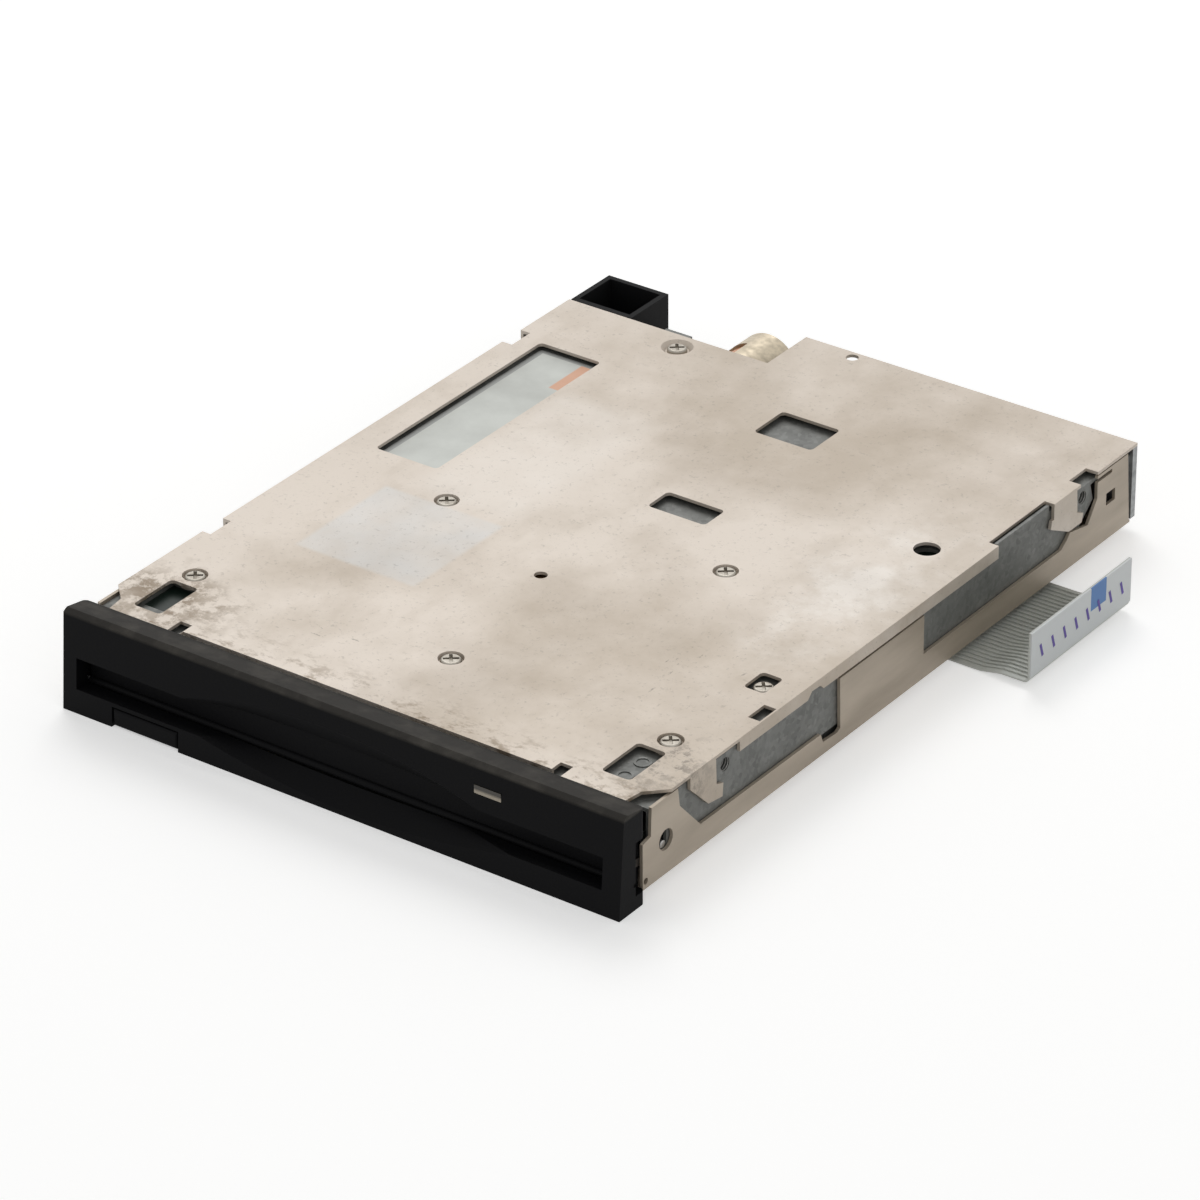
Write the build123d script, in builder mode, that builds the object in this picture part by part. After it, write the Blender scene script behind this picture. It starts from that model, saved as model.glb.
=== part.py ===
from build123d import *

import os
from math import cos, radians, sin

# A slim 3.5-inch floppy disk drive, label side up, with its bezel towards -Y. The origin is
# below the middle of the drive, level with the bezel's lower edge. X runs along the bezel,
# Y from the bezel to the rear and Z up through the label-side plate. Sizes are in millimetres.

os.makedirs("parts", exist_ok=True)

# Overall sizes
body_width = 96.0
body_length = 126.0
body_height = 12.7
bezel_depth = 6.0
bezel_overhang = 0.4
bezel_width = body_width + 2 * bezel_overhang
bezel_height = 15.7
bezel_drop = 1.7
sheet = 0.5
shell_sheet = 0.4
gap = 0.3
fit = 0.04

side = body_width / 2
front = -(body_length + bezel_depth) / 2 + bezel_depth
rear = front + body_length
shell_z = bezel_drop
shell_in = shell_z + shell_sheet
plate_top = shell_z + body_height
plate_z = plate_top - sheet
bezel_front = front - bezel_depth

# Disk and how it loads
disk_thick = 3.3
disk_margin = 43.5
spindle_y = front + disk_margin
disk_end = spindle_y + 45.0
lift = 1.8
eject_travel = 5.0
track_travel = 15.0

# Chassis
deck_thick = 0.6
deck_top = plate_z - 0.7
deck_z = deck_top - deck_thick
chassis_side = side - sheet - 0.1
chassis_low = 4.4
mount_z = plate_top - 3.0
mount_front_y = front + 20.1
mount_rear_y = rear - 14.3
mount_radius = 1.05
mount_length = 1.4

# Logic board
board_thick = 0.7
board_z = deck_z - board_thick

# Slide plate and disk tray
slide_z = shell_in + 0.4
slide_outer = side - 1.5
slide_window = side - 24.0
spring_x = side - 17.0
tray_z = slide_z + sheet + 0.8
tray_outer = side - 2.25
tray_floor = tray_z + sheet
lip_z = tray_floor + disk_thick + gap
tray_top = lip_z + sheet
stud_radius = 0.6
stud_z = tray_z + 2.3
stud_front_y = front + 5.4
stud_rear_y = front + 64.0
cam_room = 0.3

# Screws
screw_radius = 0.95
head_radius = 1.55
head_height = 0.65
dish_radius = 2.4
seat_screws = [(-24.8, front + 53.3), (20.2, front + 59.5), (3.0, front + 17.4),
               (-side + 7.2, front + 15.1), (side - 7.4, front + 17.0)]
wide_screw = (-25.2, rear - 14.0)
wide_dish_radius = 3.0
lower_screw = (side - 5.7, front + 36.8)

# Access hole over the lever, and the room the rear corner housing takes
access_hole = (side - 7.9, front + 81.3)
access_radius = 2.0
corner_width, corner_length = 11.3, 10.0


def side_outline(points):
    """Turns (distance behind the body's front, height over the shell) into (Y, Z)."""
    return [(front + y, shell_z + z) for y, z in points]


# Label-side base plate: a pressed sheet with windows, dished screw seats and side flanges
plate_step_x = -11.0
plate_step_y = rear - corner_length - 0.5
plate_front = front + 0.3
plate_lip_setback = 1.3
label_window = (-side + 5.0, -side + 16.3, front + 60.0, front + 101.2)
plate_windows = [
    (-0.3, 10.0, front + 96.3, front + 104.0),
    (0.0, 10.1, front + 68.7, front + 73.9),
    label_window,
    (-side + 5.3, -side + 10.2, front + 3.5, front + 12.2),
    (side - 10.6, side - 5.8, front + 5.2, front + 13.9),
    (side - 7.5, side - 4.0, front + 34.4, front + 39.2),
]
flange_drop = 2.1
first_tab = [(11.1, 12.7), (11.1, 10.3), (15.4, 6.0), (18.7, 5.5), (18.9, 7.6), (17.3, 8.1), (17.1, 12.7)]
flange_strip = [
    (22.8, 12.7), (22.8, 10.6), (37.5, 10.6), (39.3, 10.6), (40.3, 11.6), (42.4, 11.5), (43.2, 10.7),
    (88.0, 10.6), (88.0, 12.7),
]
second_tab = [(body_length - from_rear, z) for from_rear, z in (
    (23.0, 12.7), (23.8, 8.8), (18.7, 6.2), (15.2, 6.2), (14.8, 7.6), (16.5, 8.4), (16.8, 12.7))]
dish_depth = plate_z - deck_top

# The chassis wall stands up through a slit in the plate's right edge
lug_slit = 1.7
lug_length = 14.0
lug_y = rear - 30.5

with BuildPart() as base_plate:
    with BuildSketch(Plane.XY.offset(plate_z)):
        with BuildLine():
            Polyline(
                (-side, front + 6.7),
                (-side + 2.9, front + 3.8),
                (-side + 3.4, plate_front),
                (side - 3.4, plate_front),
                (side - 2.9, front + 3.8),
                (side, front + 6.7),
                (side, rear),
                (plate_step_x, rear),
                (plate_step_x, plate_step_y),
                (-side, plate_step_y),
                close=True,
            )
        make_face()
        with BuildLine():
            Polyline((-32.0, plate_front - 1.0), (32.0, plate_front - 1.0),
                     (32.0, plate_front + plate_lip_setback), (-32.0, plate_front + plate_lip_setback), close=True)
        make_face(mode=Mode.SUBTRACT)
    extrude(amount=sheet)
    for outline in (first_tab, flange_strip, second_tab):
        with BuildSketch(Plane.YZ.offset(side - sheet)):
            with BuildLine():
                Polyline(*side_outline(outline), close=True)
            make_face()
        extrude(amount=sheet)
        with BuildSketch(Plane.YZ.offset(-side)):
            with BuildLine():
                Polyline(*side_outline(outline), close=True)
            make_face()
        extrude(amount=sheet)
    with BuildSketch(Plane.XY.offset(plate_z - 1.2)):
        with Locations((0, plate_front + plate_lip_setback + sheet / 2)):
            Rectangle(64.0, sheet)
    extrude(amount=1.2 + sheet)
    for x0, x1, y0, y1 in plate_windows:
        with BuildSketch(Plane.XY.offset(plate_z)):
            with Locations(((x0 + x1) / 2, (y0 + y1) / 2)):
                RectangleRounded(x1 - x0, y1 - y0, 0.7)
        extrude(amount=sheet, mode=Mode.SUBTRACT)
    with BuildSketch(Plane.XY.offset(plate_z - flange_drop)):
        with Locations((side - lug_slit / 2 + 0.5, lug_y)):
            Rectangle(lug_slit + 1.0, lug_length + 1.0)
        with Locations((side - 0.6, rear - 13.4), (-side, front + 28.0), (-side + 0.3, rear - 25.5)):
            Rectangle(3.0, 4.7)
        with Locations((-33.1, plate_front + 1.3), (32.9, plate_front + 1.3)):
            Rectangle(2.1, 4.2)
        with Locations((side - 1.3, front + 30.0)):
            Rectangle(2.0, 4.0)
    extrude(amount=flange_drop + sheet, mode=Mode.SUBTRACT)
    with Locations((-0.6, spindle_y - 0.1, plate_z), (-1.5, rear - 1.6, plate_z)):
        Hole(1.0)
    with Locations((*access_hole, plate_z)):
        Hole(access_radius)
    dishes = [(place, dish_radius) for place in seat_screws] + [(wide_screw, wide_dish_radius)]
    for (x, y), radius in dishes:
        with Locations((x, y, plate_z - dish_depth / 2)):
            Cylinder(radius, dish_depth)
        with Locations((x, y, plate_top - dish_depth / 2)):
            Cone(head_radius + 0.25, radius - sheet, dish_depth, mode=Mode.SUBTRACT)
        with Locations((x, y, plate_top)):
            Hole(screw_radius + 0.1)
base_plate.part.label = "base_plate"
export_step(base_plate.part, "parts/base_plate.step")

# Disk-side shell cover: floor, side walls with their windows, and a rear wall
first_window = [
    (8.2, 12.0), (8.6, 9.1), (13.5, 3.7), (42.6, 3.5), (43.2, 2.0), (46.7, 1.8), (47.5, 2.2), (47.2, 12.0),
]
second_window = [(68.6, 12.0), (68.6, 4.0)] + [(body_length - from_rear, z) for from_rear, z in (
    (20.7, 4.0), (19.1, 5.1), (18.4, 5.9), (13.4, 4.9), (11.0, 8.2), (11.0, 12.7))]
shell_hole_y = front + 5.4
shell_hole_z = shell_z + 5.4
rear_open_x = (-5.2, 26.2)
rear_wall_left = -side + corner_width + 0.5
rear_wall_right = side - 4.6
rear_wall_top = 12.3
rear_wall_low = 7.6

with BuildPart() as shell_cover:
    with BuildSketch(Plane.XY.offset(shell_z)):
        with BuildLine():
            Polyline((-side, front), (side, front), (side, rear - 1.4), (rear_wall_left, rear - 1.4),
                     (rear_wall_left, rear - corner_length - 0.4), (-side, rear - corner_length - 0.4), close=True)
        make_face()
    extrude(amount=shell_sheet)
    for wall_x in (-side, side - sheet):
        wall_end = rear - corner_length - 0.4 if wall_x < 0 else rear - 1.6
        with BuildSketch(Plane.YZ.offset(wall_x)):
            with BuildLine():
                Polyline((front, shell_z), (wall_end, shell_z), (wall_end - 1.0, plate_z - 0.2),
                         (front + 2.1, plate_z - 0.2), (front + 1.9, shell_z + 7.6),
                         (front, shell_z + 7.2), close=True)
            make_face()
        extrude(amount=sheet)
    with BuildSketch(Plane.YZ.offset(-side - 1.0)):
        for outline in (first_window, second_window):
            with BuildLine():
                Polyline(*side_outline(outline), close=True)
            make_face()
        with BuildLine():
            Polyline(*side_outline([(22.8, 10.3), (88.2, 10.3), (88.2, 13.0), (22.8, 13.0)]), close=True)
        make_face()
        with Locations((shell_hole_y, shell_hole_z)):
            Circle(1.6)
        with Locations((rear - 7.2, shell_z + 6.9)):
            Rectangle(2.5, 2.0)
        with Locations((rear - 9.0, shell_z + 11.2)):
            Rectangle(4.0, 0.6)
        with Locations((front + 0.7, shell_z + 1.2)):
            Circle(0.5)
    extrude(amount=body_width + 2.0, mode=Mode.SUBTRACT)
    for x0, x1, top in ((rear_wall_left, -23.0, rear_wall_low), (-11.0, rear_open_x[0], rear_wall_top),
                        (rear_open_x[1], rear_wall_right, rear_wall_top)):
        with BuildSketch(Plane.XY.offset(shell_z)):
            with Locations(((x0 + x1) / 2, rear - 1.4 - shell_sheet / 2)):
                Rectangle(x1 - x0, shell_sheet)
        extrude(amount=top - shell_z)
    with BuildSketch(Plane.XY.offset(shell_z)):
        with Locations((0, spindle_y)):
            SlotOverall(26.0, 9.0)
        with Locations((-28.0, front + 90.0), (28.0, front + 100.0)):
            SlotOverall(14.0, 5.0)
    extrude(amount=shell_sheet, mode=Mode.SUBTRACT)
shell_cover.part.label = "shell_cover"
export_step(shell_cover.part, "parts/shell_cover.step")

# Main chassis: a galvanised deck under the base plate, with side walls and rear ears
deck_front = plate_front + plate_lip_setback + sheet + 0.2
deck_rear = rear - 2.0
stepper_x = -17.0
stepper_cut = (stepper_x - 6.2, stepper_x + 6.2, rear - 17.4, rear)
deck_step = rear - corner_length - 1.0
bearing_radius = 3.4

with BuildPart() as main_chassis:
    with BuildSketch(Plane.XY.offset(deck_z)):
        with BuildLine():
            Polyline((-chassis_side, deck_front), (chassis_side, deck_front), (chassis_side, deck_rear - 6.0),
                     (chassis_side - 4.0, deck_rear), (stepper_cut[1], deck_rear),
                     (stepper_cut[1], stepper_cut[2]), (stepper_cut[0], stepper_cut[2]),
                     (stepper_cut[0], deck_step), (-26.6, deck_step), (-26.6, deck_step + 3.0),
                     (-31.4, deck_step + 3.0), (-31.4, deck_step), (-chassis_side, deck_step), close=True)
        make_face()
        with Locations((0, spindle_y)):
            Circle(bearing_radius, mode=Mode.SUBTRACT)
        with Locations((-side + 7.8, front + 9.7)):
            Rectangle(6.4, 7.4, mode=Mode.SUBTRACT)
        with Locations((-30.0, front + 90.0), (24.0, front + 30.0), (24.0, front + 86.0)):
            RectangleRounded(9.0, 16.0, 2.0, mode=Mode.SUBTRACT)
        with Locations(access_hole):
            Circle(access_radius + 0.4, mode=Mode.SUBTRACT)
    extrude(amount=deck_thick)
    for wall_x in (-chassis_side, chassis_side - sheet):
        with BuildSketch(Plane.YZ.offset(wall_x)):
            with BuildLine():
                Polyline((deck_front, chassis_low), (rear - 18.0, chassis_low),
                         (rear - 11.3, shell_z + 8.2), (rear - 12.3, deck_top),
                         (deck_front, deck_top), close=True)
            make_face()
            if wall_x > 0:
                with Locations((lug_y, (deck_top + plate_top - 0.2) / 2)):
                    Rectangle(lug_length, plate_top - 0.2 - deck_top)
            for y in (stud_front_y, stud_rear_y):
                with Locations((y, stud_z + lift / 2)):
                    SlotOverall(lift + 2 * (stud_radius + cam_room), 2 * (stud_radius + cam_room), rotation=90,
                                mode=Mode.SUBTRACT)
        extrude(amount=sheet)
    for mount_y in (mount_front_y, mount_rear_y):
        with BuildSketch(Plane.YZ.offset(chassis_side - mount_length)):
            with Locations((mount_y, mount_z)):
                Circle(mount_radius + 0.55)
        extrude(amount=mount_length)
        with BuildSketch(Plane.YZ.offset(-chassis_side)):
            with Locations((mount_y, mount_z)):
                Circle(mount_radius + 0.55)
        extrude(amount=mount_length)
    with BuildSketch(Plane.YZ.offset(-side)):
        with Locations((mount_front_y, mount_z), (mount_rear_y, mount_z)):
            Circle(mount_radius)
    extrude(amount=body_width, mode=Mode.SUBTRACT)
    with BuildSketch(Plane.XY.offset(deck_top)):
        with Locations((side - 8.2, front + 7.4), (side - 8.2, front + 11.6)):
            Circle(1.3)
            Circle(0.9, mode=Mode.SUBTRACT)
    extrude(amount=0.15)
    with Locations((-29.0, deck_step + 1.4, deck_top), (34.0, rear - 8.0, deck_top)):
        Hole(0.9)
    for x, y in seat_screws + [wide_screw, lower_screw]:
        with Locations((x, y, deck_top)):
            Hole(screw_radius)
main_chassis.part.label = "main_chassis"
export_step(main_chassis.part, "parts/main_chassis.step")

# Label plate on the deck, in its window
with BuildPart() as label_plate:
    with BuildSketch(Plane.XY.offset(deck_top)):
        with Locations(((label_window[0] + label_window[1]) / 2, (label_window[2] + label_window[3]) / 2)):
            RectangleRounded(label_window[1] - label_window[0] - 0.6, label_window[3] - label_window[2] - 0.6, 0.5)
    extrude(amount=0.2)
label_plate.part.label = "label_plate"
export_step(label_plate.part, "parts/label_plate.step")


def pan_screw(place, seat_z, shank):
    """A cross-recessed pan-head screw that points down, its head on seat_z."""
    x, y = place
    with BuildPart() as screw:
        with Locations((x, y, seat_z + head_height / 2)):
            Cylinder(head_radius, head_height)
        fillet(screw.edges().group_by(Axis.Z)[-1], head_height * 0.6)
        with Locations((x, y, seat_z - shank / 2)):
            Cylinder(screw_radius, shank)
        with BuildSketch(Plane.XY.offset(seat_z + head_height)):
            with Locations((x, y)):
                Rectangle(2.3, 0.5, rotation=38)
                Rectangle(2.3, 0.5, rotation=128)
        extrude(amount=-0.5, mode=Mode.SUBTRACT)
    return screw.part


shank = deck_top - deck_z + dish_depth
cover_screws = Compound(children=[pan_screw(p, plate_top - dish_depth, shank) for p in seat_screws + [wide_screw]])
cover_screws.label = "cover_screws"
export_step(cover_screws, "parts/cover_screws.step")

lower_cover_screw = pan_screw(lower_screw, deck_top, deck_thick)
lower_cover_screw.label = "lower_cover_screw"
export_step(lower_cover_screw, "parts/lower_cover_screw.step")

# Front bezel: a moulded frame with the slot, two finger scoops, LED window and button opening
bezel_wall = 2.8
bezel_rim = 1.5
slot_x0, slot_x1 = -bezel_width / 2 + 2.4, bezel_width / 2 - 3.1
slot_z0, slot_z1 = shell_z + 2.1, shell_z + 7.0
button_x0 = -bezel_width / 2 + 8.9
button_x1 = button_x0 + 12.0
button_top = shell_z + 1.5
led_x0, led_x1 = 23.7, 28.3
led_z0, led_z1 = shell_z + 9.4, shell_z + 10.8
bezel_inner = bezel_front + bezel_wall
door_pin_radius = 0.35
door_knuckle = door_pin_radius + 0.3
door_axis_y = bezel_inner + door_knuckle + 0.2
door_axis_z = slide_z + sheet + gap + door_knuckle
slant = 1.2
end_recess = 1.2
slide_clear = 0.2
pocket_width = 2 * (slide_outer + slide_clear)

with BuildPart() as front_bezel:
    with BuildSketch(Plane.YZ.offset(-bezel_width / 2)):
        with BuildLine():
            Polyline((bezel_front, 0), (front, 0), (front, bezel_height - 0.7),
                     (bezel_front + slant + 0.8, bezel_height), (bezel_front + slant, bezel_height - 0.4),
                     close=True)
        make_face()
    extrude(amount=bezel_width)
    fillet(front_bezel.edges().filter_by(Axis.Z).group_by(Axis.Y)[0], 0.8)
    with BuildSketch(Plane.XZ.offset(-front)):
        with Locations((0, (bezel_rim + bezel_height - bezel_rim) / 2)):
            Rectangle(pocket_width, bezel_height - 2 * bezel_rim)
    extrude(amount=front - bezel_inner, mode=Mode.SUBTRACT)
    with BuildSketch(Plane.XZ.offset(-front)):
        with Locations(((slot_x0 + slot_x1) / 2, (slot_z0 + slot_z1) / 2)):
            Rectangle(slot_x1 - slot_x0, slot_z1 - slot_z0)
        with Locations(((button_x0 + button_x1) / 2, button_top / 2 - 1.0)):
            Rectangle(button_x1 - button_x0, button_top + 2.0)
        with Locations(((led_x0 + led_x1) / 2, (led_z0 + led_z1) / 2)):
            Rectangle(led_x1 - led_x0, led_z1 - led_z0)
    extrude(amount=bezel_depth + 1.0, mode=Mode.SUBTRACT)
    with BuildSketch(Plane.XZ.offset(-bezel_front + 0.2)):
        with BuildLine():
            upper_foot = Line((-29.9, slot_z1), (27.1, slot_z1))
            ThreePointArc(upper_foot @ 1, (0.0, shell_z + 13.0), upper_foot @ 0)
        make_face()
    with BuildSketch(Plane.XZ.offset(-bezel_inner)):
        with BuildLine():
            upper_end = Line((-20.0, slot_z1), (18.0, slot_z1))
            ThreePointArc(upper_end @ 1, (0.0, slot_z1 + 0.5), upper_end @ 0)
        make_face()
    loft(mode=Mode.SUBTRACT)
    with BuildSketch(Plane.XZ.offset(-bezel_front + 0.2)):
        with BuildLine():
            lower_foot = Line((-24.8, slot_z0), (32.0, slot_z0))
            ThreePointArc(lower_foot @ 1, (1.0, shell_z - 1.2), lower_foot @ 0)
        make_face()
    with BuildSketch(Plane.XZ.offset(-bezel_inner)):
        with BuildLine():
            lower_end = Line((-20.0, slot_z0), (20.0, slot_z0))
            ThreePointArc(lower_end @ 1, (1.0, slot_z0 - 0.4), lower_end @ 0)
        make_face()
    loft(mode=Mode.SUBTRACT)
    with BuildSketch(Plane.YZ.offset(-bezel_width / 2)):
        with Locations((door_axis_y, door_axis_z)):
            Circle(door_pin_radius)
    extrude(amount=bezel_width, mode=Mode.SUBTRACT)
    for end_x in (-bezel_width / 2, bezel_width / 2 - end_recess):
        with BuildSketch(Plane.YZ.offset(end_x)):
            with Locations((front - 1.1, shell_z + 4.6)):
                Rectangle(2.2, 8.4)
        extrude(amount=end_recess, mode=Mode.SUBTRACT)
front_bezel.part.label = "front_bezel"
export_step(front_bezel.part, "parts/front_bezel.step")

# Slot door: a flap on a pin along the slot's lower edge, which swings inwards
door_thick = 0.7
door_left, door_right = slot_x0 + 0.1, slot_x1 + 0.3

with BuildPart() as slot_door:
    with BuildSketch(Plane.YZ.offset(door_left)):
        with Locations((door_axis_y, door_axis_z)):
            Circle(door_knuckle)
        with Locations((door_axis_y - 0.05 + door_thick / 2, (door_axis_z + slot_z1 - 0.1) / 2)):
            Rectangle(door_thick, slot_z1 - 0.1 - door_axis_z)
        with Locations((door_axis_y, door_axis_z)):
            Circle(door_pin_radius + fit, mode=Mode.SUBTRACT)
    extrude(amount=door_right - door_left)
slot_door.part.label = "slot_door"
export_step(slot_door.part, "parts/slot_door.step")

with BuildPart() as door_pin:
    with BuildSketch(Plane.YZ.offset(-bezel_width / 2 + 0.6)):
        with Locations((door_axis_y, door_axis_z)):
            Circle(door_pin_radius)
    extrude(amount=bezel_width - 1.2)
door_pin.part.label = "door_pin"
export_step(door_pin.part, "parts/door_pin.step")

# Eject button, cupped behind for the slide plate's tongue
button_gap = 0.25
tongue_x = (button_x0 + button_x1) / 2
tongue_width = 7.0

with BuildPart() as eject_button:
    with BuildSketch(Plane.XY.offset(button_gap)):
        with Locations((tongue_x, (bezel_front + 0.15 + front - 0.4) / 2)):
            Rectangle(button_x1 - button_x0 - 2 * button_gap, bezel_depth - 0.55)
    extrude(amount=button_top - 2 * button_gap)
    fillet(eject_button.edges().group_by(Axis.Y)[0], 0.35)
    with BuildSketch(Plane.XY.offset(slide_z)):
        with Locations((tongue_x, front - 1.9)):
            Rectangle(tongue_width, 3.0)
    extrude(amount=sheet, mode=Mode.SUBTRACT)
eject_button.part.label = "eject_button"
export_step(eject_button.part, "parts/eject_button.step")

# LED light pipe in its window, and the LED on the board behind it
led_y = front + 2.5

with BuildPart() as led_lens:
    with BuildSketch(Plane.XZ.offset(-led_y)):
        with Locations(((led_x0 + led_x1) / 2, (led_z0 + led_z1) / 2)):
            Rectangle(led_x1 - led_x0 - 0.1, led_z1 - led_z0 - 0.1)
    extrude(amount=led_y - bezel_front - slant + 0.3)
led_lens.part.label = "led_lens"
export_step(led_lens.part, "parts/led_lens.step")

with BuildPart() as status_led:
    with BuildSketch(Plane.XY.offset(led_z0 - 0.1)):
        with Locations(((led_x0 + led_x1) / 2, led_y + 1.0)):
            Rectangle(3.2, 2.0)
    extrude(amount=board_z - led_z0 + 0.1)
status_led.part.label = "status_led"
export_step(status_led.part, "parts/status_led.step")

# Bezel clips: bronze leaves on the shell's front edge that hook into the bezel's ends
clip_sheet = 0.25
clip_rear = deck_front - 0.2

with BuildPart() as clip_pair:
    for x in (-side + sheet, side - sheet - clip_sheet):
        with BuildSketch(Plane.YZ.offset(x)):
            with BuildLine():
                Polyline((clip_rear, shell_z + 2.4), (clip_rear, shell_z + 5.2), (front - 1.9, shell_z + 5.2),
                         (front - 1.9, shell_z + 3.0), (front - 1.2, shell_z + 3.0), (front - 0.9, shell_z + 4.0),
                         (front + 0.6, shell_z + 4.0), (front + 0.6, shell_z + 2.4), close=True)
            make_face()
        extrude(amount=clip_sheet)
clip_pair.part.label = "bezel_clips"
export_step(clip_pair.part, "parts/bezel_clips.step")

# Eject slide plate: a U of sheet with upturned flanges whose slanted slots lift the tray's studs
slide_front = front + 3.5
slide_rear = front + 84.0
slide_bar = 6.0
flange_top = stud_z + lift + stud_radius + cam_room + 0.7

with BuildPart() as slide_plate:
    with BuildSketch(Plane.XY.offset(slide_z)):
        with BuildLine():
            Polyline((-slide_outer, slide_front), (slide_outer, slide_front), (slide_outer, slide_rear),
                     (slide_window, slide_rear), (slide_window, slide_front + slide_bar),
                     (-slide_window, slide_front + slide_bar), (-slide_window, slide_rear),
                     (-slide_outer, slide_rear), close=True)
        make_face()
        with Locations((tongue_x, (slide_front + front - 3.2) / 2)):
            Rectangle(tongue_width - 0.2, slide_front - front + 3.2)
        with Locations((0, front + 55.0)):
            with GridLocations(2 * (slide_outer - 11.5), 34.0, 2, 2):
                SlotOverall(18.0, 6.0, rotation=90, mode=Mode.SUBTRACT)
    extrude(amount=sheet)
    for flange_x in (-slide_outer, slide_outer - sheet):
        with BuildSketch(Plane.YZ.offset(flange_x)):
            with BuildLine():
                Polyline((slide_front, slide_z), (slide_rear, slide_z), (slide_rear, flange_top - 3.0),
                         (stud_rear_y + 11.0, flange_top), (slide_front, flange_top), close=True)
            make_face()
            for y in (stud_front_y, stud_rear_y):
                with BuildLine():
                    cam = Line((y, stud_z), (y + eject_travel, stud_z + lift))
                trace(line_width=2 * (stud_radius + cam_room), mode=Mode.SUBTRACT)
                with Locations(cam @ 0, cam @ 1):
                    Circle(stud_radius + cam_room, mode=Mode.SUBTRACT)
        extrude(amount=sheet)
    with BuildSketch(Plane.XY.offset(slide_z)):
        with Locations((-spring_x, slide_rear - 0.3), (spring_x, slide_rear - 0.3)):
            Rectangle(4.0, 0.6)
    extrude(amount=3.4)
slide_plate.part.label = "slide_plate"
export_step(slide_plate.part, "parts/slide_plate.step")


def coil_spring(start, along, length, radius, wire, turns):
    """A coil from start along a direction, as one swept helix."""
    with BuildPart() as spring:
        with BuildLine():
            helix = Helix(pitch=length / turns, height=length, radius=radius, center=start, direction=along)
        with BuildSketch(Plane(origin=helix @ 0, z_dir=helix % 0)):
            Circle(wire / 2)
        sweep(path=helix)
    return spring.part


spring_wire = 0.35
spring_seat_y = slide_rear + 13.0
spring_z = slide_z + 2.1
spring_length = spring_seat_y - slide_rear - spring_wire - 0.1
eject_springs = Compound(children=[
    coil_spring((x, slide_rear + spring_wire / 2 + 0.05, spring_z), (0, 1, 0), spring_length, 1.3,
                spring_wire, 9)
    for x in (-spring_x, spring_x)
])
eject_springs.label = "eject_springs"
export_step(eject_springs, "parts/eject_springs.step")

with BuildPart() as spring_seats:
    for x in (-spring_x, spring_x):
        with BuildSketch(Plane.XY.offset(shell_in)):
            with Locations((x, spring_seat_y + 2.0)):
                Rectangle(5.0, 4.0)
        extrude(amount=0.4)
        with BuildSketch(Plane.XY.offset(shell_in)):
            with Locations((x, spring_seat_y + 0.25)):
                Rectangle(5.0, 0.5)
        extrude(amount=4.2)
spring_seats.part.label = "spring_seats"
export_step(spring_seats.part, "parts/spring_seats.step")

# Disk tray: a floor with a gap for the head arm, side walls and lips over the disk's edges
tray_front = front + 3.2
tray_rear = disk_end - 0.5
arm_gap = 10.0
lip_width = 3.0

with BuildPart() as disk_tray:
    with BuildSketch(Plane.XY.offset(tray_z)):
        with BuildLine():
            Polyline((-tray_outer, tray_front), (tray_outer, tray_front), (tray_outer, tray_rear),
                     (arm_gap, tray_rear), (arm_gap, spindle_y + 13.5), (-arm_gap, spindle_y + 13.5),
                     (-arm_gap, tray_rear),
                     (-tray_outer, tray_rear), close=True)
        make_face()
        with Locations((0, spindle_y - 8.0)):
            Circle(8.0, mode=Mode.SUBTRACT)
        with Locations((0, front + 60.0)):
            with GridLocations(2 * spring_x, 40.0, 2, 2):
                SlotOverall(20.0, 9.0, rotation=90, mode=Mode.SUBTRACT)
    extrude(amount=sheet)
    for wall_x in (-tray_outer, tray_outer - sheet):
        with BuildSketch(Plane.YZ.offset(wall_x)):
            with Locations(((tray_front + tray_rear) / 2, (tray_z + tray_top) / 2)):
                Rectangle(tray_rear - tray_front, tray_top - tray_z)
        extrude(amount=sheet)
    for x in (-tray_outer + lip_width / 2, tray_outer - lip_width / 2):
        with BuildSketch(Plane.XY.offset(lip_z)):
            with Locations((x, front + 30.0), (x, front + 70.0)):
                Rectangle(lip_width, 14.0)
        extrude(amount=sheet)
disk_tray.part.label = "disk_tray"
export_step(disk_tray.part, "parts/disk_tray.step")

with BuildPart() as tray_studs:
    for start, reach in ((tray_outer, 1), (-tray_outer, -1)):
        with BuildSketch(Plane.YZ.offset(start)):
            with Locations((stud_front_y, stud_z), (stud_rear_y, stud_z)):
                Circle(stud_radius)
        extrude(amount=reach * (chassis_side - tray_outer))
tray_studs.part.label = "tray_studs"
export_step(tray_studs.part, "parts/tray_studs.step")

# Hold-down springs: thin leaves on the tray's floor that press the disk against the lips
with BuildPart() as disk_springs:
    with BuildSketch(Plane.XY.offset(tray_floor)):
        with Locations((-18.0, front + 74.0), (18.0, front + 74.0)):
            Rectangle(5.0, 16.0)
    extrude(amount=0.15)
disk_springs.part.label = "disk_springs"
export_step(disk_springs.part, "parts/disk_springs.step")

# Spindle motor, hanging from the deck: bearing and stator, then the rotor with its hub
shaft_radius = 1.0
rotor_z = tray_floor + disk_thick + lift + gap
rotor_radius = 19.5
rotor_top = board_z - 0.3
cup = 0.5
rim = 0.6
hub_radius = 7.0
pin_radius = 0.8
pin_offset = 4.3
core_z = rotor_z + cup + 0.7
core_radius = 16.6
spindle = Plane(origin=(0, spindle_y, 0))

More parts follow.
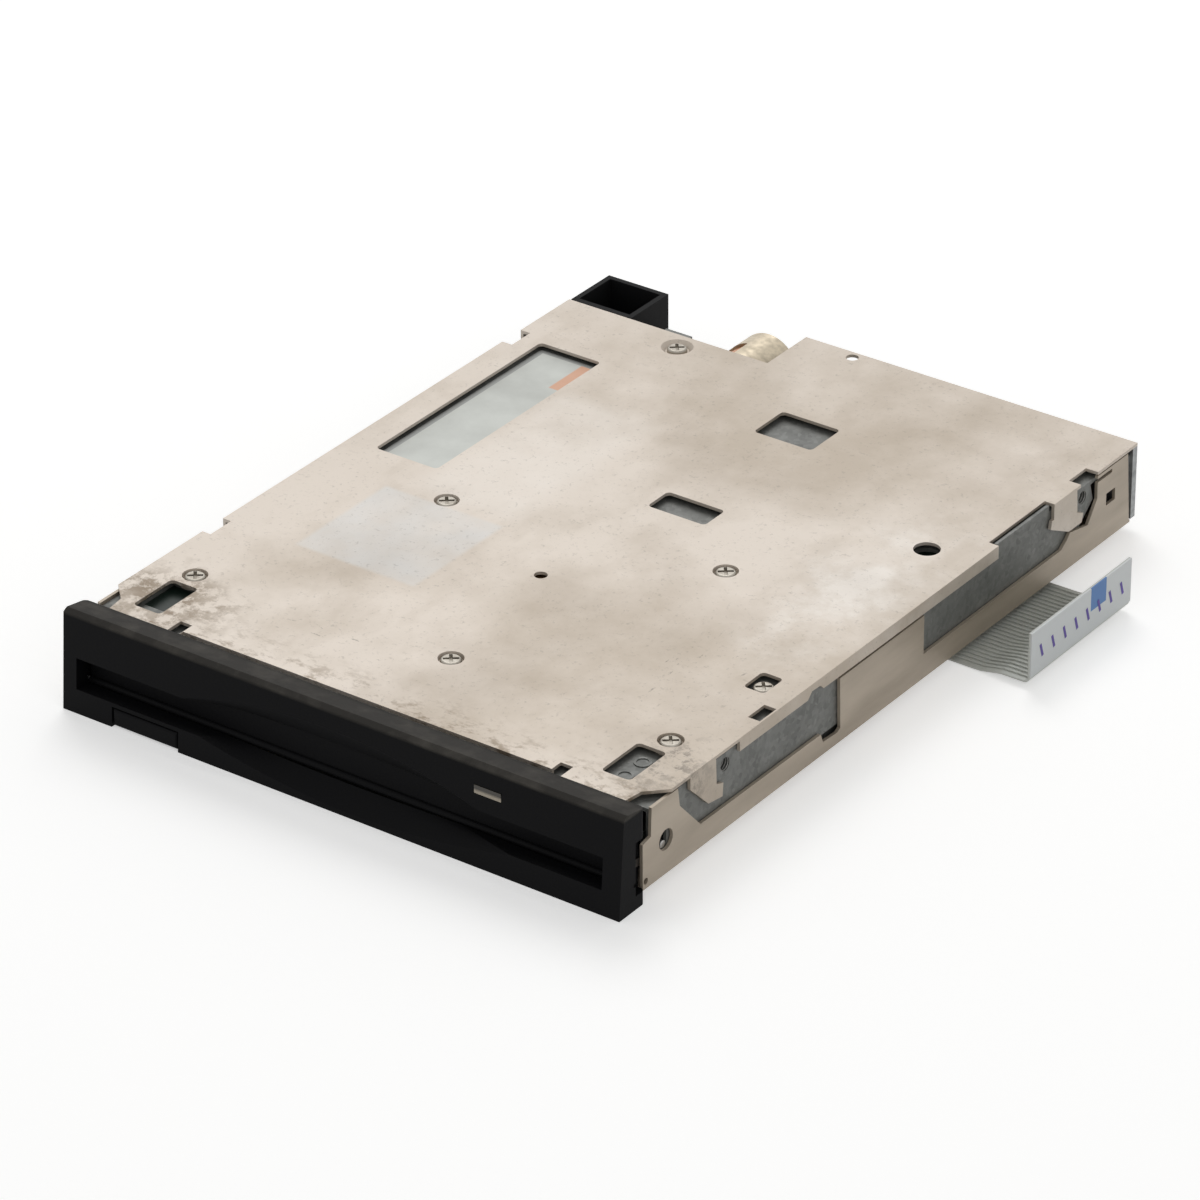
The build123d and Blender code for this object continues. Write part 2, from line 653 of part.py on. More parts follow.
with BuildPart() as spindle_bearing:
    with BuildSketch(spindle.offset(core_z - 0.2)):
        Circle(bearing_radius)
        Circle(shaft_radius + fit, mode=Mode.SUBTRACT)
    extrude(amount=deck_top - core_z + 0.2)
    with BuildSketch(spindle.offset(deck_top)):
        Circle(bearing_radius + 1.0)
        Circle(shaft_radius + fit, mode=Mode.SUBTRACT)
    extrude(amount=0.3)
spindle_bearing.part.label = "spindle_bearing"
export_step(spindle_bearing.part, "parts/spindle_bearing.step")

with BuildPart() as stator_core:
    with BuildSketch(spindle.offset(core_z)):
        Circle(6.5)
        with PolarLocations(10.5, 9):
            Rectangle(9.5, 2.0)
        with PolarLocations(core_radius - 1.0, 9):
            Rectangle(1.2, 9.0)
        Circle(bearing_radius, mode=Mode.SUBTRACT)
    extrude(amount=0.5)
stator_core.part.label = "stator_core"
export_step(stator_core.part, "parts/stator_core.step")

with BuildPart() as stator_coils:
    for angle in range(0, 360, 40):
        with BuildSketch(spindle.offset(core_z - 0.25).rotated((0, 0, angle))):
            with Locations((11.0, 0)):
                Rectangle(6.6, 3.8)
        extrude(amount=1.0)
    with BuildSketch(spindle.offset(core_z)):
        with PolarLocations(10.5, 9):
            Rectangle(9.5, 2.0)
    extrude(amount=0.5, mode=Mode.SUBTRACT)
stator_coils.part.label = "stator_coils"
export_step(stator_coils.part, "parts/stator_coils.step")

with BuildPart() as spindle_shaft:
    with BuildSketch(spindle.offset(rotor_z - 1.4)):
        Circle(shaft_radius)
    extrude(amount=deck_top + 0.1 - rotor_z + 1.4)
    chamfer(spindle_shaft.edges().group_by(Axis.Z)[0], 0.3)
spindle_shaft.part.label = "spindle_shaft"
export_step(spindle_shaft.part, "parts/spindle_shaft.step")

with BuildPart() as rotor_cup:
    with BuildSketch(spindle.offset(rotor_z)):
        Circle(rotor_radius)
    extrude(amount=rotor_top - rotor_z)
    with BuildSketch(spindle.offset(rotor_z + cup)):
        Circle(rotor_radius - rim)
    extrude(amount=rotor_top - rotor_z - cup, mode=Mode.SUBTRACT)
    with BuildSketch(spindle.offset(rotor_z)):
        Circle(shaft_radius)
        with Locations((pin_offset, 0)):
            Circle(pin_radius + 0.1)
    extrude(amount=cup, mode=Mode.SUBTRACT)
    with BuildSketch(spindle.offset(rotor_z)):
        with PolarLocations(13.0, 6):
            Circle(1.6)
    extrude(amount=cup, mode=Mode.SUBTRACT)
rotor_cup.part.label = "rotor_cup"
export_step(rotor_cup.part, "parts/rotor_cup.step")

with BuildPart() as ring_magnet:
    with BuildSketch(spindle.offset(rotor_z + cup)):
        Circle(rotor_radius - rim)
        Circle(core_radius + 0.5, mode=Mode.SUBTRACT)
    extrude(amount=rotor_top - rotor_z - cup - 0.1)
ring_magnet.part.label = "ring_magnet"
export_step(ring_magnet.part, "parts/ring_magnet.step")

with BuildPart() as drive_hub:
    with BuildSketch(spindle.offset(rotor_z - 0.5)):
        Circle(hub_radius)
        Circle(shaft_radius, mode=Mode.SUBTRACT)
        with Locations((pin_offset, 0)):
            Circle(pin_radius + 0.1, mode=Mode.SUBTRACT)
    extrude(amount=0.5)
drive_hub.part.label = "drive_hub"
export_step(drive_hub.part, "parts/drive_hub.step")

with BuildPart() as drive_pin:
    with BuildSketch(spindle.offset(rotor_z - 1.3)):
        with Locations((pin_offset, 0)):
            Circle(pin_radius)
    extrude(amount=1.3 + cup - 0.1)
drive_pin.part.label = "drive_pin"
export_step(drive_pin.part, "parts/drive_pin.step")

# Logic board under the deck, with what is soldered to its disk side
connector_x0, connector_x1 = -4.0, 25.0
board_rear = rear - 2.0
board_side = side - 4.0
lever_pivot = (side - 12.0, front + 81.0)
post_radius = 1.2

with BuildPart() as logic_board:
    with BuildSketch(Plane.XY.offset(board_z)):
        with BuildLine():
            Polyline((-board_side, front + 3.0), (board_side, front + 3.0), (board_side, rear - 8.0),
                     (board_side - 10.0, board_rear), (-9.0, board_rear), (-9.0, disk_end - 0.5),
                     (-board_side, disk_end - 0.5), close=True)
        make_face()
        with Locations((0, spindle_y)):
            Circle(bearing_radius + 0.2, mode=Mode.SUBTRACT)
        with Locations((lever_pivot)):
            Circle(post_radius + 0.2, mode=Mode.SUBTRACT)
        with Locations(*seat_screws):
            Circle(1.4, mode=Mode.SUBTRACT)
        with Locations(lower_screw):
            Circle(1.4, mode=Mode.SUBTRACT)
        with Locations(access_hole):
            Circle(access_radius + 0.4, mode=Mode.SUBTRACT)
    extrude(amount=board_thick)
logic_board.part.label = "logic_board"
export_step(logic_board.part, "parts/logic_board.step")

with BuildPart() as board_chips:
    for x, behind, width, depth in ((-32.0, 72.0, 10.0, 10.0), (-31.0, 30.0, 7.0, 7.0), (30.0, 46.0, 5.0, 9.0),
                                    (31.0, 104.0, 9.0, 9.0), (-30.0, 14.0, 4.0, 5.0)):
        y = front + behind
        with BuildSketch(Plane.XY.offset(board_z - 1.1)):
            with Locations((x, y)):
                Rectangle(width, depth)
        extrude(amount=1.1)
        leads = int(depth / 1.2)
        with BuildSketch(Plane.XY.offset(board_z - 0.3)):
            with Locations((x, y)):
                with GridLocations(width + 1.0, 1.0, 2, leads):
                    Rectangle(1.0, 0.4)
        extrude(amount=0.3)
board_chips.part.label = "board_chips"
export_step(board_chips.part, "parts/board_chips.step")

connector_z = board_z - 3.4
cable_width = 27.0
cable_thick = 0.3
cable_z = board_z - 1.7
cable_x = (connector_x0 + connector_x1) / 2

with BuildPart() as cable_connector:
    with BuildSketch(Plane.XY.offset(connector_z)):
        with Locations((cable_x, board_rear - 3.0)):
            Rectangle(connector_x1 - connector_x0, 5.4)
    extrude(amount=board_z - connector_z)
    with BuildSketch(Plane.XY.offset(cable_z - cable_thick / 2)):
        with Locations((cable_x, board_rear - 1.4)):
            Rectangle(cable_width, 4.0)
    extrude(amount=cable_thick, mode=Mode.SUBTRACT)
cable_connector.part.label = "cable_connector"
export_step(cable_connector.part, "parts/cable_connector.step")

# Interface cable: out of the rear, down and forward under the shell, folded across to the right
run_y0 = front + 77.3
run_y1 = run_y0 + cable_width
tail_x = cable_x - cable_width / 2
fold_x = tail_x + cable_width
under_z = 0.45
cable_end_x = side + 12.2
cable_rise = 9.0
rear_bend = 1.4

with BuildPart() as interface_cable:
    with BuildSketch(Plane.YZ.offset(tail_x)):
        with BuildLine():
            FilletPolyline(
                (board_rear - 3.2, cable_z), (rear + 1.6, cable_z), (rear + 1.6, under_z + cable_thick / 2),
                (run_y1, under_z + cable_thick / 2), radius=rear_bend,
            )
        trace(line_width=cable_thick)
    extrude(amount=cable_width)
    with BuildSketch(Plane.XY.offset(under_z)):
        with BuildLine():
            Polyline((tail_x, run_y1), (fold_x, run_y1), (fold_x, run_y0), close=True)
        make_face()
    extrude(amount=cable_thick)
    with BuildSketch(Plane.XY.offset(under_z - cable_thick)):
        with BuildLine():
            Polyline((tail_x, run_y1), (fold_x, run_y1), (fold_x, run_y0), close=True)
        make_face()
    extrude(amount=cable_thick)
    with BuildSketch(Plane.XZ.offset(-run_y0)):
        with BuildLine():
            FilletPolyline((fold_x, under_z - cable_thick / 2), (side + 4.0, under_z - cable_thick / 2),
                           (side + 7.5, under_z + 0.5), (cable_end_x, under_z + 0.5),
                           (cable_end_x, cable_rise), radius=0.8)
        trace(line_width=cable_thick)
    extrude(amount=-cable_width)
interface_cable.part.label = "interface_cable"
export_step(interface_cable.part, "parts/interface_cable.step")

with BuildPart() as cable_stiffener:
    with BuildSketch(Plane.YZ.offset(cable_end_x + cable_thick / 2)):
        with Locations(((run_y0 + run_y1) / 2, (under_z + 1.4 + cable_rise) / 2)):
            Rectangle(cable_width, cable_rise - under_z - 1.4)
    extrude(amount=0.2)
cable_stiffener.part.label = "cable_stiffener"
export_step(cable_stiffener.part, "parts/cable_stiffener.step")

# Stepper motor with its lead screw along Y, behind the disk
stepper_z = shell_in + 6.3
stepper_radius = 5.2
stepper_length = 14.2
stepper_front = rear - 15.4
stepper_rear = stepper_front + stepper_length
can_wall = 0.4
coil_window_turn = 60
screw_y0 = disk_end + 1.4
thread_radius = 1.1
stepper = Plane(origin=(stepper_x, stepper_front, stepper_z), x_dir=(1, 0, 0), z_dir=(0, 1, 0))

with BuildPart() as stepper_can:
    with BuildSketch(stepper):
        Circle(stepper_radius)
    extrude(amount=stepper_rear - stepper_front)
    with BuildSketch(stepper):
        Circle(stepper_radius - can_wall)
    extrude(amount=stepper_rear - stepper_front - can_wall, mode=Mode.SUBTRACT)
    with BuildSketch(stepper):
        Circle(1.0)
    extrude(amount=stepper_rear - stepper_front, mode=Mode.SUBTRACT)
    with BuildSketch(Plane(origin=(stepper_x, stepper_front + 4.0, stepper_z), x_dir=(1, 0, 0),
                           z_dir=(0, 1, 0))):
        with Locations(Location((0, 0), coil_window_turn)):
            Rectangle(9.0, 3.2, align=(Align.MAX, Align.CENTER))
    extrude(amount=6.0, mode=Mode.SUBTRACT)
stepper_can.part.label = "stepper_can"
export_step(stepper_can.part, "parts/stepper_can.step")

coil_outer = stepper_radius - can_wall - 0.02
coil_inner = 2.9
coil_start, coil_gap = 0.3, 0.4
coil_length = (stepper_length - can_wall - 2 * coil_start - coil_gap) / 2

with BuildPart() as stepper_coils:
    for start in (coil_start, coil_start + coil_length + coil_gap):
        with BuildSketch(stepper.offset(start)):
            Circle(coil_outer)
            Circle(coil_inner, mode=Mode.SUBTRACT)
        extrude(amount=coil_length)
stepper_coils.part.label = "stepper_coils"
export_step(stepper_coils.part, "parts/stepper_coils.step")

with BuildPart() as stepper_rotor:
    with BuildSketch(stepper.offset(1.0)):
        Circle(coil_inner - gap)
        Circle(0.9, mode=Mode.SUBTRACT)
    extrude(amount=stepper_length - 2.4)
stepper_rotor.part.label = "stepper_rotor"
export_step(stepper_rotor.part, "parts/stepper_rotor.step")

thread_pitch = 3.0
thread_start = screw_y0 + 1.2
thread_plane = Plane(origin=(stepper_x, thread_start, stepper_z), x_dir=(1, 0, 0), z_dir=(0, 1, 0))
carriage_y0, carriage_y1 = disk_end + track_travel + 3.0, disk_end + track_travel + 11.4
follower_y = carriage_y0 + 1.0
groove_lead = 6 * thread_pitch

with BuildPart() as lead_screw:
    with BuildSketch(thread_plane):
        Circle(thread_radius)
    extrude(amount=stepper_front - 1.0 - thread_start)
    with BuildSketch(Plane(origin=(stepper_x, screw_y0 - 0.6, stepper_z), x_dir=(1, 0, 0), z_dir=(0, 1, 0))):
        Circle(0.6)
    extrude(amount=thread_start - screw_y0 + 0.6)
    with BuildSketch(stepper.offset(-1.0)):
        Circle(0.9)
    extrude(amount=stepper_rear - stepper_front + 1.6)
    with BuildLine():
        groove = Helix(pitch=thread_pitch, height=groove_lead + thread_pitch / 2, radius=thread_radius,
                       center=(stepper_x, follower_y - groove_lead, stepper_z), direction=(0, 1, 0))
    with BuildSketch(Plane(origin=groove @ 0, z_dir=groove % 0)):
        Circle(0.4)
    sweep(path=groove, mode=Mode.SUBTRACT)
lead_screw.part.label = "lead_screw"
export_step(lead_screw.part, "parts/lead_screw.step")

bracket_left, bracket_right = stepper_x - 4.4, stepper_x + 4.4

with BuildPart() as stepper_bracket:
    with BuildSketch(Plane.XY.offset(deck_z - sheet)):
        with BuildLine():
            Polyline((bracket_left, screw_y0 - 0.6), (bracket_right, screw_y0 - 0.6),
                     (bracket_right, stepper_front), (bracket_left, stepper_front), close=True)
        make_face()
    extrude(amount=sheet)
    for y in (screw_y0 - 0.6, stepper_front - sheet):
        with BuildSketch(Plane.XZ.offset(-y)):
            with Locations((stepper_x, (stepper_z - 2.6 + deck_z) / 2)):
                Rectangle(bracket_right - bracket_left, deck_z - stepper_z + 2.6)
            with Locations((stepper_x, stepper_z)):
                Circle(0.6 + fit if y < 40 else 0.9 + gap, mode=Mode.SUBTRACT)
        extrude(amount=-sheet)
stepper_bracket.part.label = "stepper_bracket"
export_step(stepper_bracket.part, "parts/stepper_bracket.step")

with BuildPart() as stepper_end_bush:
    with BuildSketch(stepper.offset(stepper_rear - stepper_front - can_wall)):
        Circle(1.0)
    extrude(amount=can_wall)
    with BuildSketch(stepper.offset(stepper_rear - stepper_front)):
        Circle(2.2)
    extrude(amount=0.9)
    with BuildSketch(stepper.offset(stepper_rear - stepper_front - can_wall)):
        Circle(0.9 + fit)
    extrude(amount=can_wall + 0.7, mode=Mode.SUBTRACT)
stepper_end_bush.part.label = "stepper_end_bush"
export_step(stepper_end_bush.part, "parts/stepper_end_bush.step")

# Guide rod and its holders, hanging from the deck
rod_x, rod_z = 7.0, shell_in + 6.9
rod_radius = 1.0
rod_y0, rod_y1 = disk_end + 0.9, board_rear - 6.6
holder = 1.5

with BuildPart() as guide_rod:
    with BuildSketch(Plane(origin=(rod_x, rod_y0, rod_z), x_dir=(1, 0, 0), z_dir=(0, 1, 0))):
        Circle(rod_radius)
    extrude(amount=rod_y1 - rod_y0)
guide_rod.part.label = "guide_rod"
export_step(guide_rod.part, "parts/guide_rod.step")

with BuildPart() as rod_holders:
    for y in (rod_y0, rod_y1 - holder):
        with BuildSketch(Plane.XZ.offset(-y)):
            with Locations((rod_x, (rod_z - 1.8 + board_z) / 2)):
                Rectangle(4.4, board_z - rod_z + 1.8)
            with Locations((rod_x, rod_z)):
                Circle(rod_radius, mode=Mode.SUBTRACT)
        extrude(amount=-holder)
rod_holders.part.label = "rod_holders"
export_step(rod_holders.part, "parts/rod_holders.step")

# Head carriage: a block on the rod, a tongue over the disk and a follower in the screw's groove
head_y = spindle_y + 39.5
medium_z = tray_floor + lift + disk_thick / 2
tongue_z = tray_floor + disk_thick + lift + 0.4
tongue_top = board_z - 0.6
ear_x = 8.0
arm_pivot_y = disk_end + 23.5
arm_pivot_z = 5.8
arm_pin_radius = 0.45
arm_angle = 7.3
flag_x, flag_y, flag_z = 14.5, carriage_y0 + 0.7, 8.0
flag_thick = 0.6

with BuildPart() as head_carriage:
    with BuildSketch(Plane.YZ.offset(-10.0)):
        with BuildLine():
            Polyline((carriage_y0, 6.7), (carriage_y1, 6.7), (carriage_y1, tongue_top),
                     (carriage_y0, tongue_top), close=True)
        make_face()
    extrude(amount=20.0)
    with BuildSketch(Plane.XY.offset(tongue_z)):
        with Locations((0, (head_y - 4.4 + carriage_y0) / 2)):
            Rectangle(7.6, carriage_y0 - head_y + 4.4)
    extrude(amount=tongue_top - tongue_z)
    for x in (-ear_x - 0.75, ear_x - 0.75):
        with BuildSketch(Plane.YZ.offset(x)):
            with Locations((arm_pivot_y, (arm_pivot_z - 1.2 + 6.7) / 2)):
                Rectangle(3.0, 6.7 - arm_pivot_z + 1.2)
            with Locations((arm_pivot_y, arm_pivot_z)):
                Circle(arm_pin_radius, mode=Mode.SUBTRACT)
        extrude(amount=1.5)
    with BuildSketch(Plane.XZ.offset(-carriage_y0)):
        with Locations((rod_x, rod_z)):
            Circle(rod_radius + fit)
    extrude(amount=-(carriage_y1 - carriage_y0), mode=Mode.SUBTRACT)
    with BuildSketch(Plane.XY.offset(stepper_z + 1.5)):
        with Locations(((stepper_x - 1.0 - 10.0) / 2, follower_y)):
            Rectangle(-10.0 - stepper_x + 1.0, 2.0)
    extrude(amount=1.2)
    with BuildSketch(Plane.XY.offset(stepper_z + thread_radius - 0.2)):
        with Locations((stepper_x, follower_y)):
            Circle(0.25)
    extrude(amount=0.7)
    with BuildSketch(Plane.XY.offset(flag_z)):
        with Locations(((flag_x + 10.0) / 2, flag_y)):
            Rectangle(flag_x - 10.0 + flag_thick, 1.2)
    extrude(amount=0.6)
    with BuildSketch(Plane.XY.offset(flag_z)):
        with Locations((flag_x, flag_y)):
            Rectangle(flag_thick, 1.2)
    extrude(amount=2.4)
head_carriage.part.label = "head_carriage"
export_step(head_carriage.part, "parts/head_carriage.step")

with BuildPart() as fixed_head:
    with BuildSketch(Plane.XY.offset(medium_z + 0.05)):
        with Locations((0, head_y)):
            Rectangle(3.2, 4.0)
    extrude(amount=tongue_z - medium_z - 0.05)
    fillet(fixed_head.faces().sort_by(Axis.Z)[0].edges(), 0.25)
fixed_head.part.label = "fixed_head"
export_step(fixed_head.part, "parts/fixed_head.step")

# Head arm, built level as with a disk loaded and lowered about its pin for the rest position
arm_rest = Plane(origin=(0, arm_pivot_y, arm_pivot_z), x_dir=(1, 0, 0),
                 z_dir=(0, -sin(radians(arm_angle)), cos(radians(arm_angle))))
arm_sheet = 0.35
arm_top = tray_floor + lift - 0.1 - arm_pivot_z
tip_top = medium_z - 0.75 - arm_pivot_z
tip_back = head_y + 3.0 - arm_pivot_y
tip_front = head_y - 2.8 - arm_pivot_y

with BuildPart() as head_arm:
    with BuildSketch(arm_rest.offset(arm_top - arm_sheet)):
        with BuildLine():
            Polyline((-3.4, tip_back), (3.4, tip_back), (6.4, tip_back + 8.0), (6.4, -0.6), (3.6, -0.6),
                     (3.6, -1.5), (-3.6, -1.5), (-3.6, -0.6), (-6.4, -0.6), (-6.4, tip_back + 8.0),
                     close=True)
        make_face()
        with Locations((0, -9.0)):
            RectangleRounded(5.0, 8.0, 1.0, mode=Mode.SUBTRACT)
    extrude(amount=arm_sheet)
    with BuildSketch(arm_rest.offset(tip_top - arm_sheet)):
        with Locations((0, (tip_front + tip_back) / 2)):
            Rectangle(6.8, tip_back - tip_front)
    extrude(amount=arm_sheet)
    with BuildSketch(arm_rest.offset(arm_top - arm_sheet)):
        with Locations((0, tip_back - 0.2)):
            Rectangle(6.8, 0.4)
    extrude(amount=tip_top - arm_top + arm_sheet)
    knuckle_planes = [Plane(arm_rest.location * Location((x, 0, 0), (0, 90, 0))) for x in (-6.4, 4.4)]
    for knuckle in knuckle_planes:
        with BuildSketch(knuckle):
            Circle(arm_pin_radius + 0.4)
        extrude(amount=2.0)
    for knuckle in knuckle_planes:
        with BuildSketch(knuckle):
            Circle(arm_pin_radius + fit)
        extrude(amount=2.0, mode=Mode.SUBTRACT)
head_arm.part.label = "head_arm"
export_step(head_arm.part, "parts/head_arm.step")

with BuildPart() as moving_head:
    with BuildSketch(arm_rest.offset(tip_top)):
        with Locations((0, head_y - arm_pivot_y)):
            Rectangle(3.2, 4.0)
    extrude(amount=medium_z - 0.05 - arm_pivot_z - tip_top)
    fillet(moving_head.edges().filter_by(lambda e: e.center().Z > moving_head.part.center().Z).
           filter_by(Axis.X), 0.2)
moving_head.part.label = "moving_head"
export_step(moving_head.part, "parts/moving_head.step")

with BuildPart() as arm_pin:
    with BuildSketch(Plane.YZ.offset(-ear_x - 0.75)):
        with Locations((arm_pivot_y, arm_pivot_z)):
            Circle(arm_pin_radius)
    extrude(amount=2 * ear_x + 1.5)
arm_pin.part.label = "arm_pin"
export_step(arm_pin.part, "parts/arm_pin.step")

arm_spring = coil_spring((-2.0, arm_pivot_y, arm_pivot_z), (1, 0, 0), 4.0, 0.7, 0.24, 5)
arm_spring.label = "arm_spring"
export_step(arm_spring, "parts/arm_spring.step")

# Shutter lever on its post: its pin meets the disk's leading edge and slides the shutter open
lever_z = tongue_z + 0.05
lever_thick = 0.5
lever_length = 25.0
lever_angle = 238.0
lever_tip = (lever_pivot[0] + lever_length * cos(radians(lever_angle)),
             lever_pivot[1] + lever_length * sin(radians(lever_angle)))

with BuildPart() as lever_post:
    with BuildSketch(Plane.XY.offset(lever_z - 0.1)):
        with Locations(lever_pivot):
            Circle(post_radius)
    extrude(amount=deck_z - lever_z + 0.1)
    with BuildSketch(Plane.XY.offset(lever_z - 0.5)):
        with Locations(lever_pivot):
            Circle(post_radius + 0.8)
    extrude(amount=0.4)
lever_post.part.label = "lever_post"
export_step(lever_post.part, "parts/lever_post.step")

with BuildPart() as shutter_lever:
    with BuildSketch(Plane.XY.offset(lever_z)):
        with BuildLine():
            Line(lever_pivot, lever_tip)
        trace(line_width=3.2)
        with Locations(lever_pivot):
            Circle(2.8)
        with Locations(lever_tip):
            Circle(1.6)
        with Locations(lever_pivot):
            Circle(post_radius + fit, mode=Mode.SUBTRACT)
    extrude(amount=lever_thick)
    with BuildSketch(Plane.XY.offset(tray_floor + lift + 0.3)):
        with Locations(lever_tip):
            Circle(0.75)
    extrude(amount=lever_z - tray_floor - lift - 0.3)
shutter_lever.part.label = "shutter_lever"
export_step(shutter_lever.part, "parts/shutter_lever.step")

lever_spring = coil_spring((lever_pivot[0], lever_pivot[1], lever_z + lever_thick + 0.2), (0, 0, 1), 1.0,
                           post_radius + 0.35, 0.3, 2.5)
lever_spring.label = "lever_spring"
export_step(lever_spring, "parts/lever_spring.step")

# Switches that feel the disk and its two corner notches
switch_y = front + 8.0
switch_places = [("protect", (-side + 10.0, switch_y)), ("density", (side - 10.0, switch_y)),
                 ("disk", (-side + 17.0, switch_y))]
switch_z = tongue_z
plunger_radius = 0.6
plunger_travel = 0.8

with BuildPart() as disk_switches:
    with BuildSketch(Plane.XY.offset(switch_z)):
        with Locations(*[place for name, place in switch_places]):
            Rectangle(4.4, 4.0)
            Circle(plunger_radius + fit, mode=Mode.SUBTRACT)
    extrude(amount=board_z - switch_z)
disk_switches.part.label = "disk_switches"
export_step(disk_switches.part, "parts/disk_switches.step")

for name, place in switch_places:
    with BuildPart() as plunger:
        with BuildSketch(Plane.XY.offset(switch_z - 1.3)):
            with Locations(place):
                Circle(plunger_radius)
        extrude(amount=1.3 + board_z - switch_z - plunger_travel - 0.1)
        fillet(plunger.edges().group_by(Axis.Z)[0], 0.3)
    plunger.part.label = f"{name}_plunger"
    export_step(plunger.part, f"parts/{name}_plunger.step")

# Track-zero sensor: a forked light gate beside the carriage's rear position
with BuildPart() as track_zero_sensor:
    with BuildSketch(Plane.XY.offset(board_z - 3.0)):
        with Locations((flag_x, flag_y)):
            Rectangle(4.0, 5.0)
    extrude(amount=3.0)
    with BuildSketch(Plane.XY.offset(board_z - 3.0)):
        with Locations((flag_x, flag_y)):
            Rectangle(1.4, 5.0)
    extrude(amount=2.0, mode=Mode.SUBTRACT)
track_zero_sensor.part.label = "track_zero_sensor"
export_step(track_zero_sensor.part, "parts/track_zero_sensor.step")

# Head flex: a looped ribbon from the carriage's side to its connector on the board
flex_x = 10.0
flex_width = 0.25
flex_loop_y = board_rear - 7.0
flex_end_y = disk_end + 11.5

with BuildPart() as head_flex:
    with BuildSketch(Plane.XY.offset(7.4)):
        with BuildLine():
            FilletPolyline((flex_x + flex_width / 2, carriage_y1 - 2.0), (flex_x + flex_width / 2, flex_loop_y),
                           (19.0, flex_loop_y), (19.0, flex_end_y), radius=2.0)
        trace(line_width=flex_width)
    extrude(amount=2.6)
head_flex.part.label = "head_flex"
export_step(head_flex.part, "parts/head_flex.step")

with BuildPart() as flex_connector:
    with BuildSketch(Plane.XY.offset(7.2)):
        with Locations((19.0 + flex_width / 2 + 0.9, flex_end_y + 1.5)):
            Rectangle(1.8, 7.0)
    extrude(amount=board_z - 7.2)
flex_connector.part.label = "flex_connector"
export_step(flex_connector.part, "parts/flex_connector.step")

# Rear corner housing: a black plastic box, open on top, at the left
corner_x0, corner_x1 = -side, -side + corner_width
corner_y0 = rear - corner_length
corner_wall = 0.9

with BuildPart() as corner_housing:
    with BuildSketch(Plane.XY.offset(shell_z)):
        with Locations(((corner_x0 + corner_x1) / 2, (corner_y0 + rear) / 2)):
            Rectangle(corner_x1 - corner_x0, rear - corner_y0)
    extrude(amount=plate_top - 0.2 - shell_z)
    with BuildSketch(Plane.XY.offset(shell_z + 2.5)):
        with Locations(((corner_x0 + corner_x1) / 2, (corner_y0 + rear) / 2)):
            Rectangle(corner_x1 - corner_x0 - 2 * corner_wall, rear - corner_y0 - 2 * corner_wall)
    extrude(amount=plate_top, mode=Mode.SUBTRACT)
corner_housing.part.label = "corner_housing"
export_step(corner_housing.part, "parts/corner_housing.step")

block_x = side - 4.4

with BuildPart() as corner_block:
    with BuildSketch(Plane.XY.offset(shell_in)):
        with BuildLine():
            Polyline((block_x, rear - 5.0), (side - 0.6, rear - 5.0), (side - 0.6, rear), (block_x, rear), close=True)
        make_face()
    extrude(amount=deck_z - shell_in)
    with BuildSketch(Plane.XY.offset(shell_in)):
        with BuildLine():
            Polyline((block_x, rear - 1.2), (side, rear - 1.2), (side, rear), (block_x, rear), close=True)
        make_face()
    extrude(amount=plate_z - shell_in)
corner_block.part.label = "corner_block"
export_step(corner_block.part, "parts/corner_block.step")
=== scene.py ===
from math import cos, pi, radians, sin

import bpy
from mathutils import Matrix, Vector


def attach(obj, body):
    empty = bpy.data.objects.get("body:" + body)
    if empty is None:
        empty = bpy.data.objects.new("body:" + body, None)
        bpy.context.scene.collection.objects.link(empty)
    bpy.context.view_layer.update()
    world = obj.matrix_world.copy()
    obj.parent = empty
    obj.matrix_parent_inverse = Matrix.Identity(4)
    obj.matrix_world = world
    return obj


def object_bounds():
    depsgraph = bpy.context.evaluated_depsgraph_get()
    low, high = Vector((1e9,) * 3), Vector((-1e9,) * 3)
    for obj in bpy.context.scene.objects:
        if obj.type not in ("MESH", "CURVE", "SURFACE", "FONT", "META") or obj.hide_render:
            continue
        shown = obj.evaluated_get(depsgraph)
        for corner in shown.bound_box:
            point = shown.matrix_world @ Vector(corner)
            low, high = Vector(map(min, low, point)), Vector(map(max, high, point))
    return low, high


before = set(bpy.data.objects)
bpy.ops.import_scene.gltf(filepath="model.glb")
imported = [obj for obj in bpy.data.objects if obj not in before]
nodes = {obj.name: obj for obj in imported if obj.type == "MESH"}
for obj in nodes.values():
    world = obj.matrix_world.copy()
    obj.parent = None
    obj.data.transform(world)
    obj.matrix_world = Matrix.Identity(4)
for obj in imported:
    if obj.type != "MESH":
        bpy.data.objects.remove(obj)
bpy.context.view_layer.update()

mm = 0.001


def at(x, y, z):
    return Vector((x * mm, y * mm, z * mm))


# Small helpers for finishes: every pattern reads Object coordinates in metres

def startFinish(name, colour, metallic=0.0, roughness=0.5):
    finish = bpy.data.materials.new(name)
    finish.use_nodes = True
    tree = finish.node_tree
    shader = tree.nodes["Principled BSDF"]
    shader.inputs["Base Color"].default_value = (*colour, 1)
    shader.inputs["Metallic"].default_value = metallic
    shader.inputs["Roughness"].default_value = roughness
    place = tree.nodes.new("ShaderNodeTexCoord").outputs["Object"]
    return finish, tree, shader, place


def grain(tree, place, scale, detail=4.0, stretch=(1, 1, 1), rough=0.55):
    turn = tree.nodes.new("ShaderNodeMapping")
    turn.inputs["Scale"].default_value = stretch
    tree.links.new(place, turn.inputs["Vector"])
    noise = tree.nodes.new("ShaderNodeTexNoise")
    noise.inputs["Scale"].default_value = scale
    noise.inputs["Detail"].default_value = detail
    noise.inputs["Roughness"].default_value = rough
    tree.links.new(turn.outputs["Vector"], noise.inputs["Vector"])
    return noise.outputs["Fac"]


